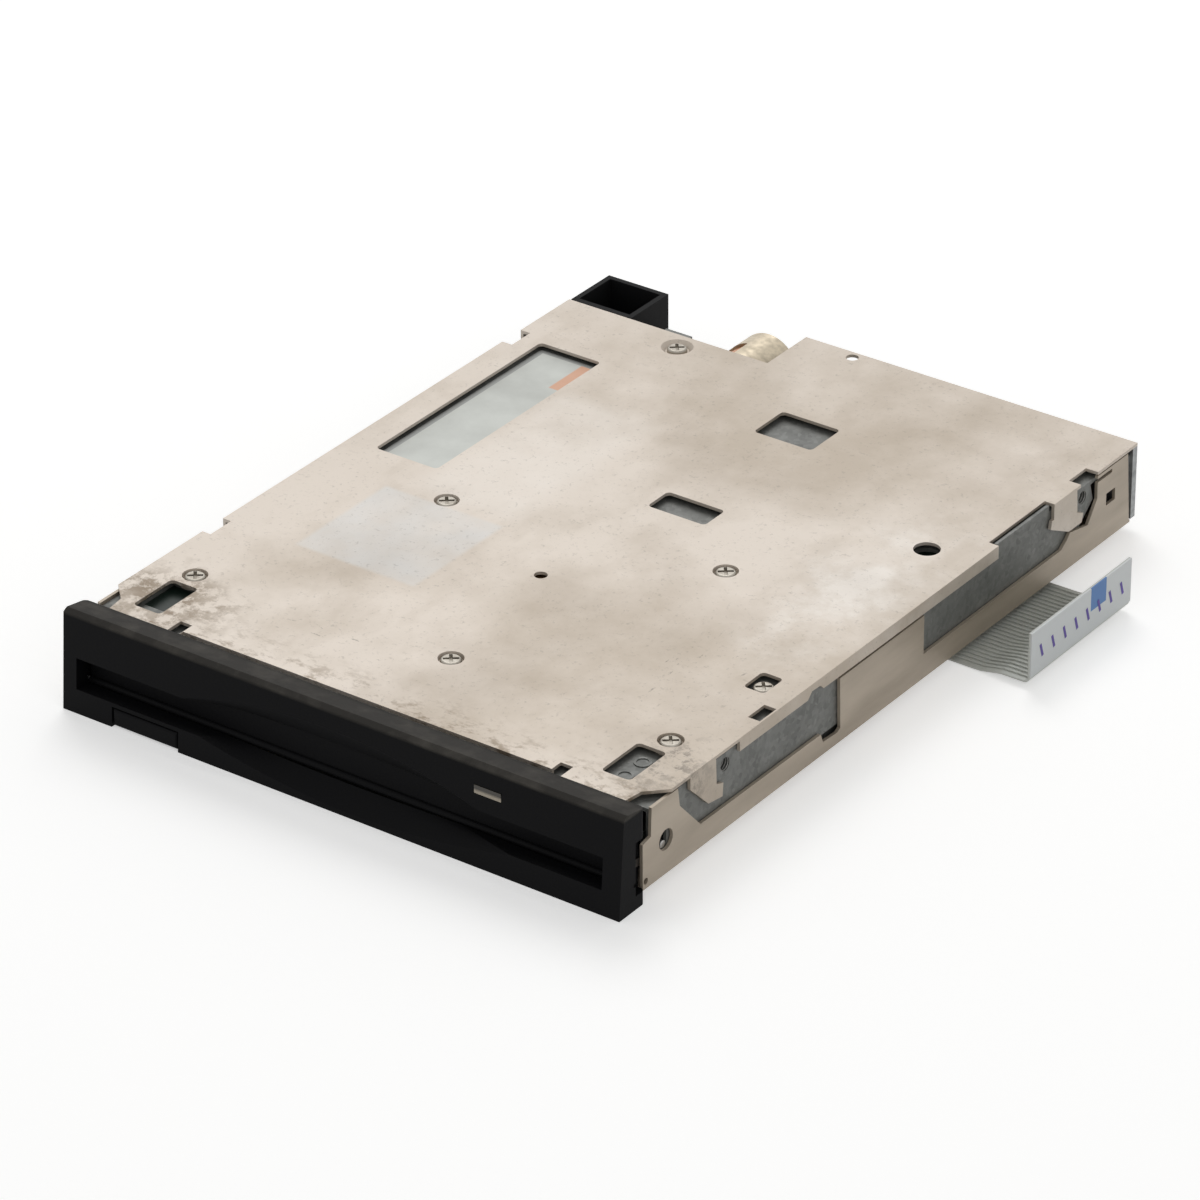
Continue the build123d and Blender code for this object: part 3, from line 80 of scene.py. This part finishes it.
def remap(tree, value, low, high, least=0.0, most=1.0):
    node = tree.nodes.new("ShaderNodeMapRange")
    for key, number in (("From Min", low), ("From Max", high), ("To Min", least), ("To Max", most)):
        node.inputs[key].default_value = number
    tree.links.new(value, node.inputs["Value"])
    return node.outputs["Result"]


def layer(tree, place, low, high, least=0.0, most=1.0, **noise):
    # a noise pattern that runs from least to most between two of its levels
    return remap(tree, grain(tree, place, **noise), low, high, least, most)


def maths(tree, kind, a, b):
    node = tree.nodes.new("ShaderNodeMath")
    node.operation = kind
    for socket, value in zip(node.inputs, (a, b)):
        if isinstance(value, (int, float)):
            socket.default_value = value
        else:
            tree.links.new(value, socket)
    return node.outputs["Value"]


def both(tree, a, b):
    return maths(tree, "MULTIPLY", a, b)


def tint(tree, amount, under, over):
    node = tree.nodes.new("ShaderNodeMix")
    node.data_type = "RGBA"
    for key, value in (("Factor", amount), ("A", under), ("B", over)):
        if isinstance(value, tuple):
            node.inputs[key].default_value = (*value, 1)
        else:
            tree.links.new(value, node.inputs[key])
    return node.outputs["Result"]


raggedRim = {"scale": 160.0, "detail": 5.0, "low": 0.3, "high": 0.7, "least": -0.3, "most": 0.3}


def patch(tree, place, centre, size, edge):
    # 1 inside a soft ellipse of half-sizes `size` in mm, with a ragged rim
    turn = tree.nodes.new("ShaderNodeMapping")
    turn.vector_type = "TEXTURE"
    turn.inputs["Location"].default_value = at(*centre)
    turn.inputs["Scale"].default_value = at(*size)
    tree.links.new(place, turn.inputs["Vector"])
    far = tree.nodes.new("ShaderNodeVectorMath")
    far.operation = "LENGTH"
    tree.links.new(turn.outputs["Vector"], far.inputs[0])
    wobble = layer(tree, place, **raggedRim)
    return remap(tree, maths(tree, "ADD", far.outputs["Value"], wobble), 1.0, 1.0 - edge)


def along(tree, place):
    # the X, Y and Z of a place, each by its name
    parts = tree.nodes.new("ShaderNodeSeparateXYZ")
    tree.links.new(place, parts.inputs["Vector"])
    return parts.outputs


def boxMask(tree, place, low, high, soft=0.02):
    # 1 inside a box in mm, for printed areas; None leaves an axis open
    axes = along(tree, place)
    mask = None
    for axis, a, b in zip("XYZ", low, high):
        if a is None:
            continue
        inside = both(tree, remap(tree, axes[axis], a * mm, (a + soft) * mm),
                      remap(tree, axes[axis], b * mm, (b - soft) * mm))
        mask = inside if mask is None else both(tree, mask, inside)
    return mask


def ramp(tree, place, axis, a, b):
    # 0 to 1 from a to b along one axis, in mm
    return remap(tree, along(tree, place)[axis], a * mm, b * mm)


def relief(tree, shader, place, scale, detail, strength, depth):
    # fine bumps on the surface, with their depth in mm
    bump = tree.nodes.new("ShaderNodeBump")
    bump.inputs["Strength"].default_value = strength
    bump.inputs["Distance"].default_value = depth * mm
    tree.links.new(grain(tree, place, scale, detail), bump.inputs["Height"])
    tree.links.new(bump.outputs["Normal"], shader.inputs["Normal"])


# Pressed nickel-steel sheet, worn and blotched
plateLook = {
    "cream": (0.70, 0.625, 0.545), "stain": (0.47, 0.395, 0.31), "worn": (0.84, 0.79, 0.73),
    "ghost": (0.66, 0.655, 0.64), "soil": (0.17, 0.11, 0.05), "scuff": (0.15, 0.125, 0.10),
    "metallic": 0.3, "roughness": 0.44,
    "broad": {"scale": 24.0, "detail": 6.0, "rough": 0.62, "low": 0.44, "high": 0.66, "most": 0.85},
    "cloud": {"scale": 75.0, "detail": 6.0, "stretch": (1, 0.5, 1), "rough": 0.65,
              "low": 0.52, "high": 0.70, "most": 0.45},
    "uneven": {"scale": 130.0, "detail": 5.0, "low": 0.3, "high": 0.7, "least": 0.35, "most": 0.75},
    "grime": {"scale": 380.0, "detail": 9.0, "stretch": (0.6, 1, 1), "rough": 0.72,
              "low": 0.50, "high": 0.60, "most": 0.75},
    "speck": {"scale": 1500.0, "rough": 0.7, "low": 0.58, "high": 0.70, "most": 0.30},
    "shine": {"scale": 60.0, "low": 0.3, "high": 0.7, "least": 0.36, "most": 0.56},
    "relief": {"scale": 2600.0, "detail": 3.0, "strength": 0.10, "depth": 0.06},
    "grimeFromY": (-51.0, -59.0),
    "bandBox": ((-33, -9, None), (-11, 32, None)), "bandSoft": 4.0, "bandShare": 0.6,
    "ghostBox": ((-35, -30, None), (-13, -8, None)), "ghostSoft": 0.8,
}
plateSpots = {
    "rubbed": {"over": "worn", "centre": (38, 5, 14), "size": (11, 27, 9), "edge": 0.7,
               "grit": {"scale": 90.0, "detail": 9.0, "rough": 0.7,
                        "low": 0.35, "high": 0.6, "most": 0.8}},
    "soiled": {"over": "soil", "centre": (-41, -53, 14), "size": (15, 10, 9), "edge": 0.9,
               "grit": {"scale": 400.0, "detail": 9.0, "rough": 0.7,
                        "low": 0.44, "high": 0.54, "most": 0.85}},
    "scuffed": {"over": "scuff", "centre": (44, -49, 14), "size": (7, 10, 9), "edge": 0.8,
                "grit": {"scale": 520.0, "detail": 9.0, "rough": 0.7,
                         "low": 0.48, "high": 0.57, "most": 0.7}},
    "leftHairs": {"over": "scuff", "centre": (-12, -48, 14), "size": (16, 6, 9), "edge": 0.5,
                  "grit": {"scale": 210.0, "detail": 5.0, "stretch": (1.6, 5, 1), "rough": 0.7,
                           "low": 0.63, "high": 0.67, "most": 0.55}},
    "rightHairs": {"over": "scuff", "centre": (33, -24, 14), "size": (9, 16, 9), "edge": 0.5,
                   "grit": {"scale": 210.0, "detail": 5.0, "stretch": (5, 1.8, 1), "rough": 0.7,
                            "low": 0.63, "high": 0.67, "most": 0.55}},
}


def plateFinish():
    look = plateLook
    finish, tree, shader, place = startFinish("wornNickelPlate", look["cream"], look["metallic"],
                                              look["roughness"])

    def spot(name, under):
        held = plateSpots[name]
        area = patch(tree, place, held["centre"], held["size"], held["edge"])
        return tint(tree, both(tree, area, layer(tree, place, **held["grit"])), under, look[held["over"]])

    colour = look["cream"]
    for key in ("broad", "cloud"):
        colour = tint(tree, layer(tree, place, **look[key]), colour, look["stain"])
    colour = spot("rubbed", colour)
    uneven = layer(tree, place, **look["uneven"])
    band = both(tree, boxMask(tree, place, *look["bandBox"], look["bandSoft"]),
                both(tree, uneven, look["bandShare"]))
    colour = tint(tree, band, colour, look["worn"])
    ghost = both(tree, boxMask(tree, place, *look["ghostBox"], look["ghostSoft"]), uneven)
    colour = tint(tree, ghost, colour, look["ghost"])
    grime = both(tree, ramp(tree, place, "Y", *look["grimeFromY"]), layer(tree, place, **look["grime"]))
    colour = tint(tree, grime, colour, look["soil"])
    for name in ("soiled", "scuffed", "leftHairs", "rightHairs"):
        colour = spot(name, colour)
    colour = tint(tree, layer(tree, place, **look["speck"]), colour, look["scuff"])
    tree.links.new(colour, shader.inputs["Base Color"])
    tree.links.new(layer(tree, place, **look["shine"]), shader.inputs["Roughness"])
    relief(tree, shader, place, **look["relief"])
    return finish


shellLook = {
    "tan": (0.50, 0.43, 0.345), "clean": (0.53, 0.455, 0.365), "stained": (0.38, 0.32, 0.25),
    "metallic": 0.3, "roughness": 0.46,
    "worn": {"scale": 70.0, "detail": 5.0, "stretch": (1, 0.4, 2.0), "low": 0.40, "high": 0.70},
    "relief": {"scale": 2200.0, "detail": 3.0, "strength": 0.12, "depth": 0.06},
}


def shellFinish():
    look = shellLook
    finish, tree, shader, place = startFinish("tanShellSheet", look["tan"], look["metallic"],
                                              look["roughness"])
    colour = tint(tree, layer(tree, place, **look["worn"]), look["clean"], look["stained"])
    tree.links.new(colour, shader.inputs["Base Color"])
    relief(tree, shader, place, **look["relief"])
    return finish


# Galvanised sheet: real grey spangle, with all its tones set down to the grey it shows in shade under the
# plate's windows (painted shade)
galvanisedLook = {
    "grey": (0.15, 0.152, 0.143), "metallic": 0.35, "roughness": 0.55,
    "crystals": 1500.0, "dark": (0.13, 0.133, 0.125), "light": (0.185, 0.188, 0.177), "shine": (0.42, 0.62),
    "bloom": (0.26, 0.265, 0.25),
    "mottle": {"scale": 260.0, "detail": 6.0, "low": 0.4, "high": 0.65, "most": 0.35},
}


def galvanisedFinish():
    look = galvanisedLook
    finish, tree, shader, place = startFinish("galvanisedSheetDarkenedAsShade", look["grey"], look["metallic"],
                                              look["roughness"])
    crystal = tree.nodes.new("ShaderNodeTexVoronoi")
    crystal.inputs["Scale"].default_value = look["crystals"]
    tree.links.new(place, crystal.inputs["Vector"])
    parts = tree.nodes.new("ShaderNodeSeparateColor")
    tree.links.new(crystal.outputs["Color"], parts.inputs["Color"])
    colour = tint(tree, parts.outputs["Red"], look["dark"], look["light"])
    colour = tint(tree, layer(tree, place, **look["mottle"]), colour, look["bloom"])
    tree.links.new(colour, shader.inputs["Base Color"])
    tree.links.new(remap(tree, parts.outputs["Green"], 0, 1, *look["shine"]), shader.inputs["Roughness"])
    return finish


# Black mouldings, with dust on the faces above a height, laid on heavier than dust alone as painted light on
# the lit top bevel
mouldedLook = {
    "roughness": 0.6, "sheen": 0.09, "dustAndLightFromZ": (14.8, 15.2), "leastDustAndLight": 0.4,
    "dustAndLight": {"scale": 240.0, "detail": 6.0, "low": 0.45, "high": 0.75, "most": 0.5},
    "relief": {"scale": 1700.0, "detail": 2.0, "strength": 0.25, "depth": 0.08},
}


def mouldedFinish(name, black, dustAndLight):
    look = mouldedLook
    finish, tree, shader, place = startFinish(name, black, 0.0, look["roughness"])
    shader.inputs["Specular IOR Level"].default_value = look["sheen"]
    # the lighter top is partly dust and partly painted light from above, set by height
    amount = both(tree, maths(tree, "ADD", layer(tree, place, **look["dustAndLight"]), look["leastDustAndLight"]),
                  ramp(tree, place, "Z", *look["dustAndLightFromZ"]))
    tree.links.new(tint(tree, amount, black, dustAndLight), shader.inputs["Base Color"])
    relief(tree, shader, place, **look["relief"])
    return finish


# Bare metals: fine lines that darken the colour and change the shine
brushedLook = {"scale": 900.0, "detail": 3.0, "dull": 0.72, "dullLines": (0.35, 0.7),
               "shineLines": (0.3, 0.7), "smoother": 0.08, "rougher": 0.1}


def metalFinish(name, colour, roughness, brushed=(1, 1, 1), metallic=0.9):
    look = brushedLook
    finish, tree, shader, place = startFinish(name, colour, metallic, roughness)
    lines = grain(tree, place, look["scale"], look["detail"], brushed)
    dull = tuple(c * look["dull"] for c in colour)
    darker = remap(tree, lines, *look["dullLines"])
    tree.links.new(tint(tree, darker, colour, dull), shader.inputs["Base Color"])
    tree.links.new(remap(tree, lines, *look["shineLines"], roughness - look["smoother"],
                         roughness + look["rougher"]), shader.inputs["Roughness"])
    return finish


screwLook = {"nickel": (0.40, 0.37, 0.32), "bright": (0.42, 0.39, 0.34), "browned": (0.27, 0.24, 0.20),
             "metallic": 0.75, "roughness": 0.42, "patches": {"scale": 700.0, "low": 0.4, "high": 0.7}}


def screwFinish():
    look = screwLook
    finish, tree, shader, place = startFinish("dullNickelScrew", look["nickel"], look["metallic"],
                                              look["roughness"])
    colour = tint(tree, layer(tree, place, **look["patches"]), look["bright"], look["browned"])
    tree.links.new(colour, shader.inputs["Base Color"])
    return finish


# Light pipe: a bright lower strip under a darker upper edge
lensLook = {"light": (0.46, 0.40, 0.31), "dark": (0.05, 0.042, 0.032), "roughness": 0.25,
            "darkerFromZ": (11.5, 11.9)}


def lensFinish():
    look = lensLook
    finish, tree, shader, place = startFinish("lightPipeDarkerAbove", look["light"], 0.0, look["roughness"])
    upper = ramp(tree, place, "Z", *look["darkerFromZ"])
    tree.links.new(tint(tree, upper, look["light"], look["dark"]), shader.inputs["Base Color"])
    return finish


plainLook = {"wear": {"scale": 300.0, "low": 0.35, "high": 0.7},
             "relief": {"scale": 1500.0, "detail": 2.0, "strength": 0.15, "depth": 0.06}}


def plainFinish(name, colour, roughness, worn=0.8):
    finish, tree, shader, place = startFinish(name, colour, 0.0, roughness)
    darker = tuple(c * worn for c in colour)
    wear = layer(tree, place, **plainLook["wear"])
    tree.links.new(tint(tree, wear, colour, darker), shader.inputs["Base Color"])
    relief(tree, shader, place, **plainLook["relief"])
    return finish


# Bare label: dull foil with a border and one plain strip
labelLook = {
    "foil": (0.56, 0.575, 0.54), "dull": (0.45, 0.46, 0.43), "border": (0.30, 0.31, 0.30),
    "orange": (0.66, 0.30, 0.15), "metallic": 0.3, "roughness": 0.45,
    "wear": {"scale": 120.0, "low": 0.35, "high": 0.7},
    "inner": ((-41.8, -2, None), (-30, 40.1, None)),
    "strip": ((-34.6, 31.5, None), (-32.2, 40.2, None)), "stripSoft": 0.2, "stripShare": 0.75,
}


def labelFinish():
    look = labelLook
    finish, tree, shader, place = startFinish("labelFoil", look["foil"], look["metallic"], look["roughness"])
    colour = tint(tree, layer(tree, place, **look["wear"]), look["foil"], look["dull"])
    colour = tint(tree, boxMask(tree, place, *look["inner"]), look["border"], colour)
    strip = both(tree, boxMask(tree, place, *look["strip"], look["stripSoft"]), look["stripShare"])
    colour = tint(tree, strip, colour, look["orange"])
    tree.links.new(colour, shader.inputs["Base Color"])
    return finish


# Stiff end of the cable: white film with one blue patch
stiffenerLook = {
    "white": (0.74, 0.77, 0.77), "blue": (0.05, 0.20, 0.52), "roughness": 0.36,
    "patchBox": ((None, 33.2, 5.2), (None, 37.4, 9.2)),
    "relief": {"scale": 700.0, "detail": 2.0, "strength": 0.1, "depth": 0.05},
}


def stiffenerFinish():
    look = stiffenerLook
    finish, tree, shader, place = startFinish("whiteCableEnd", look["white"], 0.0, look["roughness"])
    blue = boxMask(tree, place, *look["patchBox"])
    tree.links.new(tint(tree, blue, look["white"], look["blue"]), shader.inputs["Base Color"])
    relief(tree, shader, place, **look["relief"])
    return finish


finishes = {
    "plate": plateFinish(),
    "shell": shellFinish(),
    "galvanised": galvanisedFinish(),
    "bezel": mouldedFinish("mattBlackBezel", (0.0025, 0.0025, 0.003), (0.085, 0.078, 0.068)),
    "darkPlastic": mouldedFinish("blackHousing", (0.009, 0.009, 0.0095), (0.035, 0.034, 0.031)),
    "lens": lensFinish(),
    "springSteel": metalFinish("brightSpringSteel", (0.60, 0.60, 0.59), 0.30),
    "bronze": metalFinish("phosphorBronze", (0.42, 0.25, 0.11), 0.36),
    "darkClip": metalFinish("darkClip", (0.035, 0.03, 0.026), 0.5),
    "screw": screwFinish(),
    "thread": metalFinish("wornThread", (0.42, 0.41, 0.39), 0.3),
    "label": labelFinish(),
    "magnet": plainFinish("ferrite", (0.06, 0.06, 0.065), 0.6),
    "copper": metalFinish("copperWinding", (0.62, 0.28, 0.12), 0.34, (1, 6, 1)),
    "core": metalFinish("laminatedCore", (0.36, 0.36, 0.37), 0.42),
    # the board's green is set near black: partly its own dark resist, partly painted shade, so the holes
    # over it read as deep shade
    "board": plainFinish("boardDarkenedAsShade", (0.004, 0.014, 0.009), 0.5, 0.7),
    "chip": plainFinish("chipPackage", (0.018, 0.018, 0.018), 0.55),
    "white": plainFinish("naturalMoulding", (0.66, 0.63, 0.55), 0.45, 0.88),
    "cable": plainFinish("greyCableFilm", (0.66, 0.68, 0.64), 0.36, 0.92),
    "cableEnd": stiffenerFinish(),
    "ceramic": plainFinish("headCeramic", (0.10, 0.085, 0.075), 0.25),
    "amber": plainFinish("amberFlex", (0.38, 0.16, 0.03), 0.35),
    "zinc": metalFinish("castZinc", (0.36, 0.37, 0.37), 0.5),
    "motor": metalFinish("creamMotorCan", (0.66, 0.57, 0.43), 0.42, (1, 1, 1), 0.6),
}
wearers = {
    "plate": ["base_plate"],
    "shell": ["shell_cover"],
    "galvanised": ["main_chassis", "slide_plate", "spring_seats", "disk_tray", "rotor_cup",
                   "stepper_bracket"],
    "bezel": ["front_bezel", "slot_door", "eject_button"],
    "darkPlastic": ["corner_housing", "rod_holders", "head_carriage", "disk_switches",
                    "track_zero_sensor"],
    "lens": ["led_lens", "status_led"],
    "springSteel": ["door_pin", "eject_springs", "tray_studs", "disk_springs", "spindle_shaft",
                    "drive_hub", "drive_pin", "lead_screw", "guide_rod", "head_arm", "arm_pin",
                    "arm_spring", "lever_post", "lever_spring"],
    "bronze": ["spindle_bearing", "stepper_end_bush"],
    "darkClip": ["bezel_clips"],
    "screw": ["cover_screws", "lower_cover_screw"],
    "label": ["label_plate"],
    "magnet": ["ring_magnet", "stepper_rotor"],
    "copper": ["stator_coils", "stepper_coils"],
    "core": ["stator_core"],
    "board": ["logic_board"],
    "chip": ["board_chips"],
    "white": ["cable_connector", "shutter_lever", "protect_plunger", "density_plunger", "disk_plunger",
              "flex_connector"],
    "cable": ["interface_cable"],
    "cableEnd": ["cable_stiffener"],
    "ceramic": ["fixed_head", "moving_head"],
    "amber": ["head_flex"],
    "zinc": ["corner_block"],
    "motor": ["stepper_can"],
}
for key, names in wearers.items():
    for name in names:
        for held in nodes[name].material_slots:
            held.material = finishes[key]
print("finishes on", sum(len(names) for names in wearers.values()), "nodes of", len(nodes))


# Geometry Nodes helpers

def startTree(name, sizes):
    tree = bpy.data.node_groups.new(name, "GeometryNodeTree")
    face = tree.interface
    face.new_socket("Geometry", in_out="INPUT", socket_type="NodeSocketGeometry")
    face.new_socket("Geometry", in_out="OUTPUT", socket_type="NodeSocketGeometry")
    for label, value in sizes.items():
        kind = "NodeSocketInt" if isinstance(value, int) else "NodeSocketFloat"
        face.new_socket(label, in_out="INPUT", socket_type=kind).default_value = value
    return tree, tree.nodes.new("NodeGroupInput").outputs, tree.nodes.new("NodeGroupOutput")


def join(tree, *pairs):
    for source, target in pairs:
        tree.links.new(source, target)


def spacedRow(tree, count, spacing, axis):
    # points in a row along one axis
    row = tree.nodes.new("GeometryNodeMeshLine")
    offset = tree.nodes.new("ShaderNodeCombineXYZ")
    join(tree, (count, row.inputs["Count"]), (spacing, offset.inputs[axis]),
         (offset.outputs[0], row.inputs["Offset"]))
    return row.outputs[0]


def instance(tree, points, shape, turn=(0, 0, 0)):
    copies = tree.nodes.new("GeometryNodeInstanceOnPoints")
    copies.inputs["Rotation"].default_value = turn
    join(tree, (points, copies.inputs["Points"]), (shape, copies.inputs["Instance"]))
    return copies.outputs[0]


def realize(tree, instances):
    solid = tree.nodes.new("GeometryNodeRealizeInstances")
    tree.links.new(instances, solid.inputs[0])
    return solid.outputs[0]


def sweep(tree, curve, radius, sides, capped=False):
    # a round section carried along a curve
    section = tree.nodes.new("GeometryNodeCurvePrimitiveCircle")
    section.inputs["Resolution"].default_value = sides
    swept = tree.nodes.new("GeometryNodeCurveToMesh")
    swept.inputs["Fill Caps"].default_value = capped
    join(tree, (radius, section.inputs["Radius"]), (curve, swept.inputs["Curve"]),
         (section.outputs[0], swept.inputs["Profile Curve"]))
    return swept.outputs[0]


def closeTree(tree, instances, finish, output):
    coat = tree.nodes.new("GeometryNodeSetMaterial")
    coat.inputs["Material"].default_value = finish
    join(tree, (realize(tree, instances), coat.inputs["Geometry"]),
         (coat.outputs[0], output.inputs["Geometry"]))


def grow(name, verts, edges, tree, sizes, body):
    # runs a tree on a few guide points and keeps the result as a plain mesh
    seed = bpy.data.meshes.new(name + "Guide")
    seed.from_pydata([tuple(v) for v in verts], edges, [])
    guide = bpy.data.objects.new(name, seed)
    bpy.context.scene.collection.objects.link(guide)
    modifier = guide.modifiers.new(name, "NODES")
    modifier.node_group = tree
    for item in tree.interface.items_tree:
        if item.in_out == "INPUT" and item.name in sizes:
            modifier[item.identifier] = sizes[item.name]
    depsgraph = bpy.context.evaluated_depsgraph_get()
    plain = bpy.data.meshes.new_from_object(guide.evaluated_get(depsgraph))
    guide.modifiers.remove(modifier)
    guide.data = plain
    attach(guide, body)
    print(name, len(plain.polygons), "faces")


# Thread rings inside the four side mounting holes
thread = {"mountY": (-39.9, 51.7), "mountZ": 11.4, "outerX": 47.2, "Radius": 1.0 * mm, "Wire": 0.06 * mm,
          "Pitch": 0.4 * mm, "Turns": 3, "ringSides": 28, "wireSides": 6}


def threadRings():
    sizes = {key: thread[key] for key in ("Radius", "Wire", "Pitch", "Turns")}
    tree, start, end = startTree("threadRings", sizes)
    hoop = tree.nodes.new("GeometryNodeCurvePrimitiveCircle")
    hoop.inputs["Resolution"].default_value = thread["ringSides"]
    tree.links.new(start["Radius"], hoop.inputs["Radius"])
    ring = sweep(tree, hoop.outputs[0], start["Wire"], thread["wireSides"])
    row = spacedRow(tree, start["Turns"], start["Pitch"], "X")
    points = realize(tree, instance(tree, start["Geometry"], row))
    closeTree(tree, instance(tree, points, ring, (0, pi / 2, 0)), finishes["thread"], end)
    run = (thread["Turns"] - 1) * thread["Pitch"] / mm
    mouths = []
    for y in thread["mountY"]:
        for x in (thread["outerX"] - run, -thread["outerX"]):  # both rows run towards +X
            mouths.append(at(x, y, thread["mountZ"]))
    grow("threadRings", mouths, [], tree, sizes, "chassis")


threadRings()

# Conductors that show as ribs on the flat cable's last run and on its standing end
ribs = {"firstY": 18.3, "Count": 26, "Spacing": 1.0 * mm, "Rib": 0.12 * mm, "Bend": 0.8 * mm,
        "route": [(27.0, 0.62), (52.0, 0.62), (55.5, 1.27), (60.03, 1.27), (60.03, 8.8)],
        "ribSides": 6, "bendSteps": 6}


def conductorRibs():
    sizes = {key: ribs[key] for key in ("Count", "Spacing", "Rib", "Bend")}
    tree, start, end = startTree("conductorRibs", sizes)
    line = tree.nodes.new("GeometryNodeMeshToCurve")
    bend = tree.nodes.new("GeometryNodeFilletCurve")
    bend.mode = "POLY"
    bend.inputs["Count"].default_value = ribs["bendSteps"]
    join(tree, (start["Geometry"], line.inputs["Mesh"]), (line.outputs[0], bend.inputs["Curve"]),
         (start["Bend"], bend.inputs["Radius"]))
    rib = sweep(tree, bend.outputs[0], start["Rib"], ribs["ribSides"], True)
    row = spacedRow(tree, start["Count"], start["Spacing"], "Y")
    closeTree(tree, instance(tree, row, rib), finishes["cable"], end)
    points = [at(x, ribs["firstY"], z) for x, z in ribs["route"]]
    edges = [(i, i + 1) for i in range(len(points) - 1)]
    grow("conductorRibs", points, edges, tree, sizes, "chassis")


conductorRibs()

# Plain purple ticks on the stiff end, as spacing marks
ticks = {"firstY": 20.0, "Count": 8, "Spacing": 3.1 * mm, "Width": 0.5 * mm, "Height": 2.2 * mm,
         "thick": 0.03, "x": 60.58, "z": 5.2, "lean": 18, "purple": (0.12, 0.07, 0.40), "roughness": 0.5}


def tickMarks():
    sizes = {key: ticks[key] for key in ("Count", "Spacing", "Width", "Height")}
    ink = plainFinish("purpleInk", ticks["purple"], ticks["roughness"])
    tree, start, end = startTree("tickMarks", sizes)
    block = tree.nodes.new("GeometryNodeMeshCube")
    size = tree.nodes.new("ShaderNodeCombineXYZ")
    size.inputs["X"].default_value = ticks["thick"] * mm
    join(tree, (start["Width"], size.inputs["Y"]), (start["Height"], size.inputs["Z"]),
         (size.outputs[0], block.inputs["Size"]))
    row = spacedRow(tree, start["Count"], start["Spacing"], "Y")
    points = realize(tree, instance(tree, start["Geometry"], row))
    closeTree(tree, instance(tree, points, block.outputs[0], (radians(ticks["lean"]), 0, 0)), ink, end)
    first = at(ticks["x"], ticks["firstY"], ticks["z"])
    grow("tickMarks", [first], [], tree, sizes, "chassis")


tickMarks()

# Floor, light and camera
floorLook = {"size": 4.0, "white": (0.86, 0.86, 0.85), "roughness": 0.8, "glow": 0.45}


def seen(tree):
    # 1 for rays that look at the background, also in metal and through glass
    paths = tree.nodes.new("ShaderNodeLightPath")
    mirror = maths(tree, "MAXIMUM", paths.outputs["Is Glossy Ray"], paths.outputs["Is Transmission Ray"])
    return maths(tree, "MAXIMUM", paths.outputs["Is Camera Ray"], mirror)


def layFloor():
    half = floorLook["size"] / 2
    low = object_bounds()[0][2]
    mesh = bpy.data.meshes.new("floor")
    mesh.from_pydata([(-half, -half, low), (half, -half, low), (half, half, low), (-half, half, low)], [],
                     [(0, 1, 2, 3)])
    floor = bpy.data.objects.new("floor", mesh)
    bpy.context.scene.collection.objects.link(floor)
    finish, tree, shader, _ = startFinish("paleFloor", floorLook["white"], 0.0, floorLook["roughness"])
    shader.inputs["Emission Color"].default_value = (1, 1, 1, 1)
    tree.links.new(both(tree, seen(tree), floorLook["glow"]), shader.inputs["Emission Strength"])
    mesh.materials.append(finish)


lamps = {
    "softKey": {"place": (-0.5, 0.6, 1.0), "power": 4.6, "size": 0.7},
    "softFill": {"place": (0.9, -0.6, 0.6), "power": 0.9, "size": 0.8},
}


def addLamp(name, place, power, size):
    lamp = bpy.data.lights.new(name, "AREA")
    lamp.energy = power
    lamp.size = size
    thing = bpy.data.objects.new(name, lamp)
    thing.location = place
    thing.rotation_euler = (-Vector(place)).to_track_quat("-Z", "Y").to_euler()  # aims at the origin
    bpy.context.scene.collection.objects.link(thing)


layFloor()
for name, look in lamps.items():
    addLamp(name, **look)

worldLook = {"onObject": 0.38, "behind": 1.0}


def lightWorld():
    world = bpy.data.worlds.new("studio")
    world.use_nodes = True
    bpy.context.scene.world = world
    tree = world.node_tree
    sky = tree.nodes["Background"]
    sky.inputs["Color"].default_value = (1, 1, 1, 1)
    level = remap(tree, seen(tree), 0, 1, worldLook["onObject"], worldLook["behind"])
    tree.links.new(level, sky.inputs["Strength"])


lightWorld()

cameraLook = {"target": (0, 0, 7.7), "azimuth": 35.954, "elevation": 29.807, "roll": -0.385,
              "distance": 883.684, "across": -1.823, "up": -4.313, "focal": 183.5, "sensor": 36}


def placeCamera():
    look = cameraLook
    az, el, roll = (radians(look[key]) for key in ("azimuth", "elevation", "roll"))
    back = Vector((sin(az) * cos(el), -cos(az) * cos(el), sin(el)))
    right = (-back).cross(Vector((0, 0, 1))).normalized()
    up = right.cross(-back)
    right, up = cos(roll) * right + sin(roll) * up, -sin(roll) * right + cos(roll) * up
    place = at(*look["target"]) + (back * look["distance"] + right * look["across"] + up * look["up"]) * mm
    data = bpy.data.cameras.new("photoView")
    data.lens = look["focal"]
    data.sensor_width = look["sensor"]
    camera = bpy.data.objects.new("photoView", data)
    turn = Matrix((right, up, back)).transposed()
    camera.matrix_world = Matrix.Translation(place) @ turn.to_4x4()
    bpy.context.scene.collection.objects.link(camera)
    bpy.context.scene.camera = camera


placeCamera()
bpy.context.scene.view_settings.view_transform = "Standard"
print("floor, lamps and camera set")
